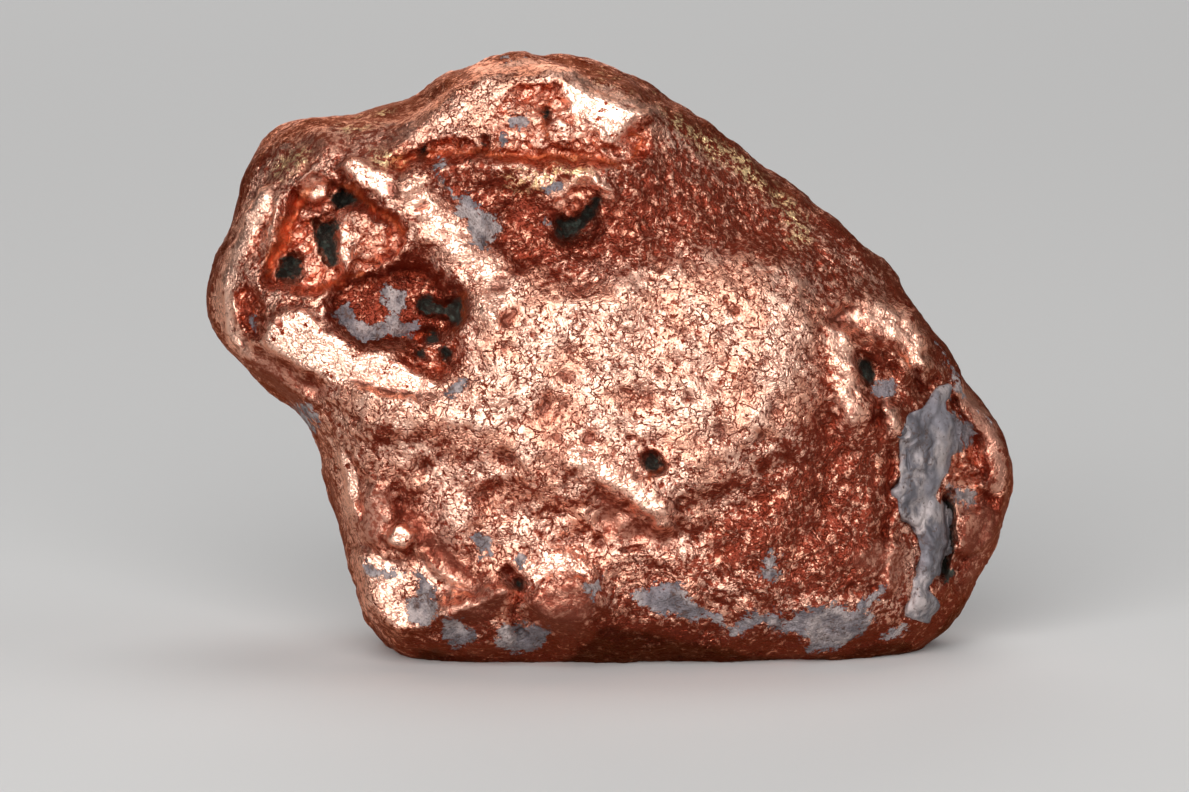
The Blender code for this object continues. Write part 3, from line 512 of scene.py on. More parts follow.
# The broad middle: shallow dimples and one slanting ridge with a pit above it
PLATEAU = {
    pit: [
        ((-2.45, 8.5), (0.16, 0.36), 0.25, -15, 0.6), ((-1.55, 6.2), (0.2, 0.26), 0.22, 0, 0.7),
        ((-0.55, 5.5), (0.18, 0.2), 0.2, 0, 0.7), ((-2.6, 4.95), (0.28, 0.22), 0.14, 0, 0.7),
        ((-0.3, 3.0), (0.18, 0.14), 0.2, 0, 0.6), ((0.5, 2.85), (0.3, 0.07), 0.2, 10, 0.6)],
    ridge: [(SLANTING_RIDGE, 0.3, 0.42), ([(-0.25, 5.2), (0.35, 4.85), (0.7, 4.6)], 0.07, -0.14)],
    shelf: [(RIDGE_SHADOW, 0.3, -0.3)],
}

# The lower left corner with its valley, and the two toes beside it
FOOT = {
    ridge: [
        (CORNER_VALLEY, 0.42, -0.32), *[(crease, 0.09, -0.2) for crease in CORNER_CREASES],
        (LEFT_TOE, 0.34, 0.55), (TOE_NOTCH, 0.15, -0.65)],
    shelf: [
        (CORNER_PLATE, 0.2, 0.3), (CORNER_BEAD, 0.1, 0.35), (CORNER_FOLD, 0.2, 0.22),
        (RIGHT_TOE, 0.4, 0.8)],
    lump: [((-1.15, 1.2), (1.6, 0.8), 0.2)],
}

# The right end: a valley, a looped ridge with a hole in it, the cleft and its outer lip
RIGHT_END = {
    ridge: [
        (END_VALLEY, 0.4, -0.2), (OUTER_LOOP, 0.45, 0.42), (INNER_LOOP, 0.16, 0.3),
        (LOOP_LUG, 0.22, 0.5), *[(crevice, 0.1, -0.32) for crevice in END_CREVICES],
        (END_LOBE, 0.22, 0.3), (CLEFT_LIP, 0.28, 0.6), (LIP_GROOVE, 0.15, -0.35),
        (BLACK_GAP, 0.13, -0.7), (RED_LEDGE_END, 0.1, 0.4)],
    shelf: [
        (LOOP_HOLLOW, 0.14, -0.35), (END_OVAL, 0.14, 0.12), (LIP_BLOCK, 0.1, 0.5),
        (LOWER_BLOCK, 0.1, 0.4), (RED_CORNER, 0.15, -0.3)],
    lump: [
        ((6.4, 3.7), (0.35, 0.5), 0.15), ((9.2, 4.35), (0.2, 0.2), 0.4), ((8.5, 1.8), (0.4, 0.4), 0.3)],
}

# The back: a long slanting furrow, three hollows and worn swellings between them
BACK = {
    lump: [
        ((-7.6, 10.4), (2.2, 2.6), -0.6), ((2.8, 11.4), (3.0, 1.6), -0.6, -30),
        ((8.2, 4.4), (1.8, 3.0), -0.8), ((-1.6, 5.2), (2.0, 1.5), 0.5, 15),
        ((-4.2, 2.4), (1.2, 0.9), 0.45)],
    ridge: [
        ([(-5.6, 11.4), (-3.4, 9.6), (-1.2, 8.6), (1.6, 8.0), (4.4, 8.4)], 0.7, -0.7),
        ([(-4.6, 12.6), (-2.0, 11.4), (0.6, 10.4)], 0.6, 0.4),
        ([(0.6, 2.4), (2.2, 2.0), (4.8, 2.2), (6.4, 3.4)], 0.4, 0.45)],
    pit: [
        ((-5.2, 6.6), (1.3, 1.0), 0.7, 25, 0.5), ((3.6, 4.2), (1.5, 0.9), 0.8, -35, 0.45),
        ((6.0, 8.0), (0.8, 0.6), 0.6, 40, 0.5), ((-1.0, 2.0), (0.7, 0.5), 0.4, 0, 0.6)],
}

# Worn faces, nearly flat: border, softness of its edge, slopes along u and v, and how flat
PLATES = [
    (BRIGHT_PLATE, 0.14, (0.16, 0.02), 1.0),
    (CORNER_PLATE, 0.2, (0.12, 0.0), 1.0),
    (CROWN_PLATE, 0.15, (0.05, -0.12), 0.9),
    (CROWN_LEFT, 0.2, (0.08, -0.28), 0.8),
    (EDGE_STRIP, 0.08, (0.15, 0.0), 1.0),
    (TONGUE_FACE, 0.08, (-0.05, -0.1), 0.9),
    (RIDGE_FACE, 0.25, (0.0, -0.05), 0.6),
    (RIM_FACE, 0.15, (0.3, 0.0), 0.85),
    (KNOB, 0.12, (0.0, 0.0), 0.8),
    (SLANTING_FACE, 0.2, (0.02, -0.05), 0.8),
    (LOOP_ARCH, 0.2, (-0.08, -0.12), 0.85),
    (LOOP_LEG, 0.25, (0.0, -0.05), 0.4),
    (GOLD_FACE, 0.1, (0.0, -0.05), 0.9),
    (BROWN_BAND, 0.2, (0.1, 0.15), 0.7),
    (LOOP_HOLLOW, 0.12, (-0.1, -0.1), 0.5),
    (SHOULDER, 0.6, (-0.05, -0.12), 0.45),
    (PIT_CRUMBS, 0.1, (0.0, -0.05), 0.6),
    (LOBE_FACE, 0.08, (0.1, 0.0), 0.9),
    (TOE_TOP_FACE, 0.25, (0.0, -0.05), 0.75),
    (CORNER_BEAD, 0.06, (0.0, -0.05), 0.7),
    (LIP_FACE, 0.12, (-0.25, 0.0), 0.7),
    (LIP_BLOCK, 0.08, (-0.3, -0.1), 0.6),
    (LOWER_BLOCK, 0.08, (-0.15, -0.05), 0.6),
]

# Where the surface is broken and crumbly, rubbed smooth, or calm
RAGGED = [
    CROWN_HOLLOW, CROWN_CRUMBLE, CROWN_FACET, RAGGED_FLOOR, RED_CORNER, UPPER_POCKET, LEFT_PIT, CRUMBS,
    NOTCH_CRUMBS, PIT_CRUMBS, INNER_LOBE]
SMOOTH = [
    BRIGHT_PLATE, CROWN_PLATE, EDGE_STRIP, CORNER_BEAD, LOBE_FACE, TONGUE_FACE, RIM_FACE, KNOB,
    *CORNER_SHINE]
# Calm zones get an even brown; under the slanting ridge it is painted shadow
CALM = [
    CORNER_FOLD, VALLEY_FLOOR, LEFT_TOE_FACE, RIGHT_TOE_FACE, BROWN_BAND, RIDGE_SHADOW, LIP_BLOCK,
    LOWER_BLOCK, END_OVAL, END_LOBE_FACE, LIP_FACE]

# Where it is worn bright, and where it is darker, partly dull tarnish and partly painted shade: strength,
# borders and softness of the edge
WORN = [
    (1.0, [PLATEAU_WORN, BRIGHT_PLATE, CROWN_PLATE, CORNER_PLATE], 0.5),
    (0.8, [CROWN_LEFT, RIDGE_FACE], 0.2),
    (0.75, [LOOP_LEG, LOOP_ARCH], 0.2),
    (0.8, [PIT_CRUMBS, NOTCH_CRUMBS, CRUMBS, LOOP_HOLLOW, GOLD_FACE], 0.1),
    (0.35, [LOWER_MIDDLE], 0.6),
]
DULL_AND_SHADED = [
    (0.55, [TROUGH], 0.5),
    (0.5, [UPPER_RIGHT], 0.6),
    (0.55, [RIGHT_SIDE], 0.8),
    (0.15, [HEAD_TOP], 0.4),
    # Painted shade along the bottom and the right edge, darker than any tarnish
    (1.3, [BOTTOM, RIGHT_EDGE], 0.4),
    (0.8, [VALLEY_FLOOR, LOWER_POCKET, LEFT_PIT], 0.2),
    (0.5, [RAGGED_FLOOR], 0.2),
    (0.5, [RIGHT_TOE_FACE, VALLEY_BAND], 0.3),
    (0.45, [LIP_FACE], 0.15),
    (0.35, [RED_CORNER], 0.15),
]

# Worn edges: route and width
WORN_ROUTES = [
    (RIM_SLIVER, 0.14), (LEFT_RIM, 0.24), (POCKET_RIDGE, 0.45), (CLEFT_LIP, 0.16),
    (SLANTING_RIDGE, 0.4), (TOE_TOPS, 0.35), (OUTER_LOOP, 0.35), (LOOP_LUG, 0.2), (CROWN_RIM, 0.2),
    (PIT_RIM, 0.14),
]


def flattened(height, u, v, border, edge, slope, strength):
    """Brings the area inside a border near to a flat face with the slope given."""
    depth = inside_by(u, v, border, edge)
    if not (depth > 0).any():
        return height
    plane = slope[0] * u + slope[1] * v
    plane += (height - plane)[depth > 0].mean()
    share = strength * smooth_step(-edge, edge, depth)
    return height + share * (plane - height)


def waves(places, length, seed, count=18):
    """Irregular swells of about the given length, rising and falling by about one."""
    draw = np.random.default_rng(seed)
    ways = draw.normal(size=(count, places.shape[-1]))
    ways /= np.linalg.norm(ways, axis=1, keepdims=True)
    ways *= 2 * pi / length * draw.uniform(0.7, 1.4, (count, 1))
    swell = np.zeros(places.shape[:-1])
    for way, start in zip(ways, draw.uniform(0, 2 * pi, count)):
        swell += np.cos(places @ way + start)
    return swell * np.sqrt(2 / count)


def wavering(u, v, seed, swing):
    """The same places pushed about a little, so that no drawn line stays even."""
    places = np.stack([u, v], -1)
    u = u + swing * waves(places, 0.9, seed) + 0.6 * swing * waves(places, 0.35, seed + 1)
    v = v + swing * waves(places, 0.9, seed + 2) + 0.6 * swing * waves(places, 0.35, seed + 3)
    return u, v


def scattered(places, size, seed):
    """Distances to the nearest and next of scattered points, and the nearest one's own number."""
    draw = np.random.default_rng(seed)
    order = draw.permutation(256)
    offsets = draw.uniform(0, 1, (256, 3))
    scaled = places / size
    corner = np.floor(scaled).astype(int)
    first = np.full(len(places), 9.0)
    second = first.copy()
    number = np.zeros(len(places), int)
    for step in np.ndindex(3, 3, 3):
        cell = corner + (np.array(step) - 1)
        key = order[(order[(order[cell[:, 0] & 255] + cell[:, 1]) & 255] + cell[:, 2]) & 255]
        distance = np.linalg.norm(cell + offsets[key] - scaled, axis=1)
        nearer = distance < first
        second = np.where(nearer, first, np.minimum(second, distance))
        number = np.where(nearer, key, number)
        first = np.where(nearer, distance, first)
    return first * size, second * size, number / 255


def by_direction(table, angle):
    """A value for each direction from the centre, between those of the table."""
    degrees, values = zip(*table)
    return np.interp(np.degrees(angle), degrees, values, period=360)


def outline_reach(angle):
    """Distance from the centre to the outline, by direction."""
    line = curve_through(OUTLINE, closed=True) - np.array(CENTRE)
    return np.interp(angle, np.arctan2(line[:, 1], line[:, 0]), np.hypot(line[:, 0], line[:, 1]),
                     period=2 * pi)


def from_outline(u, v):
    """Direction of each place from the centre, its share of the way out, and what is left in mm."""
    angle = np.arctan2(v - CENTRE[1], u - CENTRE[0])
    reach = outline_reach(angle)
    out = np.hypot(u - CENTRE[0], v - CENTRE[1]) / reach
    return angle, out, (1 - out) * reach


def dome(u, v, depth, squareness):
    """Height of a plain dome over the outline, and how far each place is from the edge."""
    angle, out, left = from_outline(u, v)
    return depth * np.sqrt(np.clip(1 - out ** by_direction(squareness, angle), 0, 1)), left


def middle_plane(u, v):
    """Where the two domes meet: upright once leaned, with both ends bent to the back."""
    return -np.tan(LEAN) * (v - CENTRE[1]) + END_BEND * u * u


def copper_level(u, v):
    """Height of the front without its holes and the cleft."""
    height, left = dome(u, v, FRONT_DEPTH, FRONT_SQUARENESS)
    places = np.stack([u, v], -1)
    wu, wv = wavering(u, v, 1, 0.03)
    rise = sum(raised(wu, wv, forms) for forms in (SLOPES, HEAD, CROWN, PLATEAU, FOOT, RIGHT_END))
    rise += 0.05 * waves(places, 1.7, 11) + 0.03 * waves(places, 0.8, 12)
    height += rise * smooth_step(0.0, 0.5, left)
    for plate in PLATES:
        height = flattened(height, wu, wv, *plate)
    return height


def front_height(u, v):
    """Height of the front with its holes and the cleft."""
    height = copper_level(u, v)
    wu, wv = wavering(u, v, 5, 0.025)
    for hole in HOLES:
        height += shelf(wu, wv, hole, 0.09, -0.7)
    height += shelf(wu, wv, FILLING, 0.08, -0.3)
    return height


def back_height(u, v):
    """Height of the back, towards +y."""
    height, left = dome(u, v, BACK_DEPTH, BACK_SQUARENESS)
    places = np.stack([u, v], -1)
    wu, wv = wavering(u, v, 21, 0.05)
    rise = raised(wu, wv, BACK)
    rise += 0.14 * waves(places, 3.0, 31) + 0.035 * waves(places, 1.4, 32) + 0.01 * waves(places, 0.7, 33)
    return height + rise * smooth_step(0.0, 1.0, left)


def leaned(u, y, v):
    """Places in the upright plane's frame, leaned back and set down on the foot."""
    placed = np.stack([u, y, v], -1) @ np.array(Matrix.Rotation(-LEAN, 3, 'X')).T
    placed[:, 2] -= FOOT_CUT
    return placed


def upright(placed):
    """The reverse of leaned: u, y and v of placed points."""
    lifted = placed + np.array([0, 0, FOOT_CUT])
    return (lifted @ np.array(Matrix.Rotation(-LEAN, 3, 'X'))).T


def set_vertices(mesh, places):
    """Moves a mesh's vertices to places in millimetres."""
    mesh.vertices.foreach_set("co", (places * MM).astype(np.float32).ravel())
    mesh.update()


def vertices_of(mesh, what="co"):
    """A mesh's vertices in millimetres, or their normals."""
    places = np.empty(len(mesh.vertices) * 3, np.float32)
    mesh.vertices.foreach_get(what, places)
    return places.reshape(-1, 3).astype(float) / (MM if what == "co" else 1)


def worn_relief(places, ragged, smooth):
    """Small relief of the worn metal: plates parted by cracks, grains and pock marks."""
    pushed = places + 0.06 * np.stack([waves(places, 0.5, seed) for seed in (61, 62, 63)], -1)
    first, second, _ = scattered(pushed, 0.42, 64)
    broken = smooth_step(-0.3, 0.5, waves(places, 0.9, 65))
    relief = -0.035 * broken * (1 - smooth_step(0.0, 0.07, second - first))
    first, _, number = scattered(pushed, 0.95, 66)
    size = 0.10 + 0.14 * number
    relief -= 0.10 * (number > 0.68) * (1 - smooth_step(0.4, 1.0, first / size))
    relief += 0.010 * waves(places, 0.4, 67) + 0.007 * waves(places, 0.2, 68)
    coarse = 0.07 * waves(places, 0.5, 69) + 0.05 * waves(places, 0.25, 70)
    return relief * (1 - 0.8 * smooth) + coarse * ragged


def front_zones(u, v, front, table):
    """The strongest of several soft zones on the front: strength, borders and softness of the edge."""
    zone = np.zeros(u.shape)
    shelves = [(border, edge, strength) for strength, borders, edge in table for border in borders]
    zone[front] = highest(u[front], v[front], {shelf: shelves})
    return zone


def fine_nugget():
    """A fine sphere, denser in front, drawn out to the outline and its two domes."""
    bpy.ops.mesh.primitive_ico_sphere_add(subdivisions=8, radius=1.0)
    nugget = bpy.context.object
    nugget.name = nugget.data.name = "copper_nugget"
    sphere = vertices_of(nugget.data)
    sphere /= np.linalg.norm(sphere, axis=1, keepdims=True)
    forward = FRONT_SHARE - sphere[:, 1]
    forward /= np.where(forward > 0, 1 + FRONT_SHARE, 1 - FRONT_SHARE)
    angle = np.arctan2(sphere[:, 2], sphere[:, 0])
    out = np.sqrt(np.clip(1 - forward ** 2, 0, 1))
    reach = outline_reach(angle) * out
    u = CENTRE[0] + reach * np.cos(angle)
    v = CENTRE[1] + reach * np.sin(angle)
    front = forward > 0
    y = middle_plane(u, v)
    y[front] -= front_height(u[front], v[front])
    y[~front] += back_height(u[~front], v[~front])
    places = np.stack([u, y, v], -1)
    edge = smooth_step(0.75, 1.0, out)[:, None]
    swell = 0.05 * waves(places, 2.0, 41) + 0.02 * waves(places, 0.9, 42)
    inward = np.maximum(0, 0.08 + swell)
    outward = np.stack([np.cos(angle), np.zeros_like(angle), np.sin(angle)], -1)
    places -= edge * outward * inward[:, None]
    set_vertices(nugget.data, leaned(*places.T))

    ragged = front_zones(u, v, front, [(1.0, RAGGED, 0.2)])
    smooth = front_zones(u, v, front, [(1.0, SMOOTH + CALM, 0.15)])
    ragged = ragged * (1 - smooth)
    relief = worn_relief(places, 0.6 * ragged, smooth) * (1 - 0.5 * smooth_step(0.8, 1.0, out))
    placed = vertices_of(nugget.data)
    normals = vertices_of(nugget.data, "normal")
    set_vertices(nugget.data, placed + normals * relief[:, None])
    return nugget


def thin_out(thing, triangles):
    """Keeps about that many triangles, most where the surface bends most."""
    count = len(thing.data.polygons)
    if count <= triangles:
        return
    thinned = thing.modifiers.new("fewer_faces", 'DECIMATE')
    thinned.ratio = triangles / count
    evaluated = thing.evaluated_get(bpy.context.evaluated_depsgraph_get())
    fine = thing.data
    thing.data = bpy.data.meshes.new_from_object(evaluated)
    thing.modifiers.clear()
    bpy.data.meshes.remove(fine)
    thing.data.name = thing.name


def lay_on_frame(thing, node):
    """Shift that centres a thing on its node's box and rests it on the same level."""
    low, high = (np.array(corner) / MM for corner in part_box(node))
    places = vertices_of(thing.data)
    middle = (places.min(axis=0) + places.max(axis=0)) / 2
    shift = (low + high) / 2 - middle
    shift[2] = 0
    return shift


def recess(mesh, rounds):
    """How far each vertex lies below its surroundings, in millimetres."""
    ends = np.empty(len(mesh.edges) * 2, np.int32)
    mesh.edges.foreach_get("vertices", ends)
    ends = ends.reshape(-1, 2)
    here, there = ends.ravel(), ends[:, ::-1].ravel()
    places = vertices_of(mesh)
    count = np.bincount(here, minlength=len(places))[:, None]
    mean = places.copy()
    for _ in range(rounds):
        sums = [np.bincount(here, mean[there, axis], len(places)) for axis in range(3)]
        mean = np.stack(sums, -1) / count
    return ((mean - places) * vertices_of(mesh, "normal")).sum(axis=1)


def mark(mesh, name, values):
    """Writes one number for each vertex, which the material reads by name."""
    layer = mesh.attributes.new(name, 'FLOAT', 'POINT')
    layer.data.foreach_set("value", values.astype(np.float32))


def mark_nugget(mesh, shift):
    """The marks that the copper's material reads: hollows, films, holes, gold, worn places, painted glow,
    and darkness that is partly tarnish and partly painted shade.
    """
    u, y, v = upright(vertices_of(mesh) - shift)
    normals = vertices_of(mesh, "normal")
    front = y < middle_plane(u, v)
    back = ~front
    u, v = wavering(u, v, 95, 0.04)
    angle, _, left = from_outline(u, v)
    places = np.stack([u, y, v], -1)

    film, hole, gold, painted_glow, rubbed = np.zeros((5, len(u)))
    fu, fv = u[front], v[front]
    film[front] = highest(fu, fv, {inside_by: [(border, REACH) for border in FILMS],
                                   thread: [(route, 0.03) for route in FILM_THREADS]})
    film[front] -= 0.4 * smooth_step(-0.35, -0.1, normals[front, 1])
    film[back] = highest(u[back], v[back], {inside_by: [(border, REACH) for border in BACK_FILMS]})
    hole[front] = highest(fu, fv, {inside_by: [(border, REACH) for border in HOLES]})
    hole[back] = -REACH
    gold[front] = highest(fu, fv, {ridge: [(route, 0.2, 1.0) for route in GOLD_SPOTS]})
    # Gold only on faces turned to the front, where its painted glints show
    gold[front] *= smooth_step(-0.15, -0.45, normals[front, 1])
    gold[back] = 0.8 * smooth_step(1.4, 2.2, waves(places[back], 1.5, 93))
    gold[back] *= smooth_step(2.0, 1.0, left[back])
    painted_glow[front] = highest(fu, fv, {ridge: PAINTED_GLOWS})
    rubbed[front] = highest(fu, fv, {ridge: [(route, width, 1.0) for route, width in WORN_ROUTES]})

    # dark: partly dull tarnish, partly painted shade at the bottom, along the right edge, on faces turned
    # down and inside the outline
    dark = front_zones(u, v, front, DULL_AND_SHADED)
    ragged = front_zones(u, v, front, [(1.0, RAGGED, 0.15)])
    smooth = front_zones(u, v, front, [(1.0, SMOOTH, 0.12)])
    calm = front_zones(u, v, front, [(0.8, CALM, 0.25), (0.5, [HEAD_TOP], 0.5)])
    rubbed = np.maximum(rubbed, smooth)
    worn = np.maximum(front_zones(u, v, front, WORN), rubbed)
    worn = np.maximum(worn, 0.6 * ragged * (1 - dark))
    form = raised(u[back], v[back], BACK) + 0.15 * waves(places[back], 2.4, 91)
    worn[back] = smooth_step(-0.35, 0.2, form) * smooth_step(0.3, 1.2, left[back])
    worn[back] = 0.3 + 0.7 * worn[back]
    smooth[back] = 0.9 * worn[back] * smooth_step(0.5, 1.2, waves(places[back], 3.0, 96))
    dark[back] = 0.8 * smooth_step(-0.2, -0.6, form)
    # Painted shade: darker on faces turned downwards
    dark = np.maximum(dark, 0.9 * smooth_step(-0.35, -0.75, normals[:, 2]))
    # Painted shade: a dark band inside the outline, broken up in patches towards the back
    patches = smooth_step(-0.4, 0.7, waves(places, 2.2, 94))
    behind = smooth_step(-3.0, 0.5, y - middle_plane(u, v))
    edge = smooth_step(1.0, 0.2, left / by_direction(EDGE_SHADE_REACH, angle))
    dark = np.maximum(dark, edge * (1 - 0.7 * behind * patches))

    marks = {"film": film, "hole": hole, "gold": gold, "recess": recess(mesh, 3), "worn": worn,
             "ragged": ragged, "dark": dark * (1 - 0.9 * rubbed),
             "smooth": np.maximum(smooth, 0.8 * rubbed), "calm": calm, "painted_glow": painted_glow}
    for name, values in marks.items():
        mark(mesh, name, values)


def make_filling(shift):
    """The grey mineral in the cleft: a sheet over the cleft's outline that dives into the copper."""
    low = np.min(FILLING, axis=0) - FILLING_MARGIN
    high = np.max(FILLING, axis=0) + FILLING_MARGIN
    across, down = FILLING_GRID
    bpy.ops.mesh.primitive_grid_add(x_subdivisions=across, y_subdivisions=down, size=2.0)
    filling = bpy.context.object
    filling.name = filling.data.name = "grey_filling"
    grid = vertices_of(filling.data) * MM
    u = low[0] + (grid[:, 0] + 1) / 2 * (high[0] - low[0]) - CENTRE[0]
    v = low[1] + (grid[:, 1] + 1) / 2 * (high[1] - low[1]) - CENTRE[1]
    held = np.minimum(1, 0.97 * outline_reach(np.arctan2(v, u)) / np.hypot(u, v))
    u, v = CENTRE[0] + u * held, CENTRE[1] + v * held
    places = np.stack([u, v], -1)
    wu, wv = wavering(u, v, 81, 0.03)
    depth = inside_by(wu, wv, FILLING, REACH)
    lumps = 0.02 * waves(places, 0.9, 82) + 0.012 * waves(places, 0.3, 83)
    first, second, number = scattered(np.stack([wu, 0.7 * wv, 0 * wv], -1), 0.6, 84)
    lumps += (0.03 + 0.08 * number) * smooth_step(0.0, 0.14, second - first)
    rise = 0.10 * smooth_step(0.0, 0.3, depth) + lumps * smooth_step(-0.05, 0.15, depth)
    rise -= 0.4 * (1 - smooth_step(-0.14, 0.02, depth))
    y = middle_plane(u, v) - copper_level(u, v) - rise
    set_vertices(filling.data, leaned(u, y, v) + shift)
    pale = ridge(wu, wv, FILLING_STREAK, 0.25, 1.0)
    for border in FILLING_PATCHES:
        pale -= shelf(wu, wv, border, 0.1, 0.4)
    mark(filling.data, "pale", pale)
    sheet = bmesh.new()
    sheet.from_mesh(filling.data)
    far = [point for point, inside in zip(sheet.verts, depth) if inside < -0.2]
    bmesh.ops.delete(sheet, geom=far, context='VERTS')
    sheet.to_mesh(filling.data)
    sheet.free()
    solid = filling.modifiers.new("thickness", 'SOLIDIFY')
    solid.thickness = FILLING_THICKNESS * MM
    solid.offset = -1
    return filling


class Value:
    """A node's output, which can be calculated with like a number and mixed like a colour."""

    def __init__(self, socket):
        self.socket = socket
        self.tree = socket.id_data

    def maths(self, operation, other):
        """A calculation with this value first."""
        return put(self.tree, 'Math', {0: self, 1: other}, operation=operation)

    def __add__(self, other):
        return self.maths('ADD', other)

    def __sub__(self, other):
        return self.maths('SUBTRACT', other)

    def __rsub__(self, other):
        return put(self.tree, 'Math', {0: other, 1: self}, operation='SUBTRACT')

    def __mul__(self, other):
        return self.maths('MULTIPLY', other)

    def most(self, other):
        """The larger of two values."""
        return self.maths('MAXIMUM', other)

    def least(self, other):
        """The smaller of two values."""
        return self.maths('MINIMUM', other)

    def vector(self, operation, other):
        """A calculation with all three parts of a place."""
        return put(self.tree, 'VectorMath', {0: self, 1: other}, operation=operation)

    def scaled(self, by):
        """A place or a colour times a number."""
        return put(self.tree, 'VectorMath', {0: self, 'Scale': by}, operation='SCALE')

    def step(self, low, high, start=0.0, end=1.0):
        """A smooth step of this value from start at low to end at high."""
        ends = {'Value': self, 'From Min': low, 'From Max': high, 'To Min': start, 'To Max': end}
        return put(self.tree, 'MapRange', ends, interpolation_type='SMOOTHSTEP')

    def blend(self, first, second):
        """Mixes two colours by this share."""
        return put(self.tree, 'Mix', {0: self, 6: first, 7: second}, 2, data_type='RGBA')

    def noise(self, scale, detail=3.0, rough=0.55):
        """Cloudy noise at this place, with that many swells to a millimetre."""
        inputs = {'Vector': self, 'Scale': scale, 'Detail': detail, 'Roughness': rough}
        return put(self.tree, 'TexNoise', inputs, 'Fac')

    def cracks(self, scale, width):
        """Lines between cells, 1 on the line; the width may vary over the surface."""
        inputs = {'Vector': self, 'Scale': scale}
        edge = put(self.tree, 'TexVoronoi', inputs, 'Distance', feature='DISTANCE_TO_EDGE')
        return edge.step(0.0, width, 1.0, 0.0)


def fill(node, values):
    """Sets a node's inputs to numbers, colours or other nodes' values."""
    for name, value in values.items():
        if isinstance(value, Value):
            value.tree.links.new(value.socket, node.inputs[name])
        else:
            node.inputs[name].default_value = value


def put(tree, kind, values, output=0, **settings):
    """Adds a shader node with values for its inputs, and gives one of its outputs."""
    made = tree.nodes.new('ShaderNode' + kind)
    for name, value in settings.items():
        setattr(made, name, value)
    fill(made, values)
    return Value(made.outputs[output])


def millimetres(tree, pushed=0.0):
    """Places on the object in millimetres, pushed about by noise."""
    place = put(tree, 'TexCoord', {}, 'Object').vector('MULTIPLY', (1 / MM,) * 3)
    if not pushed:
        return place
    push = put(tree, 'TexNoise', {'Vector': place, 'Scale': 3.0, 'Detail': 3.0}, 'Color')
    return place.vector('ADD', push.vector('SUBTRACT', (0.5,) * 3).scaled(pushed))


def marks_of(tree, *names):
    """The numbers that were written on the vertices under these names."""
    return [put(tree, 'Attribute', {}, 'Fac', attribute_name=name) for name in names]


def bumped(height):
    """The direction of a surface with that much relief in millimetres."""
    return put(height.tree, 'Bump', {'Strength': 1.0, 'Distance': MM, 'Height': height}, 'Normal')


def new_material(name):
    """A new material, its tree and its shader."""
    made = bpy.data.materials.new(name)
    made.use_nodes = True
    tree = made.node_tree
    return made, tree, tree.nodes["Principled BSDF"]


def mineral_colour(place):
    """Dull grey, slightly lilac, with paler and darker clouds."""
    tree = place.tree
    turned = {'Vector': place, 'Rotation': (0, radians(20), 0), 'Scale': (1.0, 1.0, 0.55)}
    streaky = put(tree, 'Mapping', turned)
    clouds = marks_of(tree, "pale")[0] * 0.10 + streaky.noise(2.6, 5.0, 0.62)
    pale = place.noise(0.9, 2.0).step(0.40, 0.58).blend((0.165, 0.15, 0.165, 1), (0.31, 0.26, 0.25, 1))
    colour = clouds.step(0.36, 0.62).blend((0.08, 0.072, 0.082, 1), pale)
    specks = place.noise(9.0, 4.0, 0.7).step(0.58, 0.66)
    splits = millimetres(tree, 1.2).cracks(0.9, 0.035) * clouds.step(0.56, 0.44)
    return specks.most(splits).blend(colour, (0.06, 0.035, 0.03, 1))


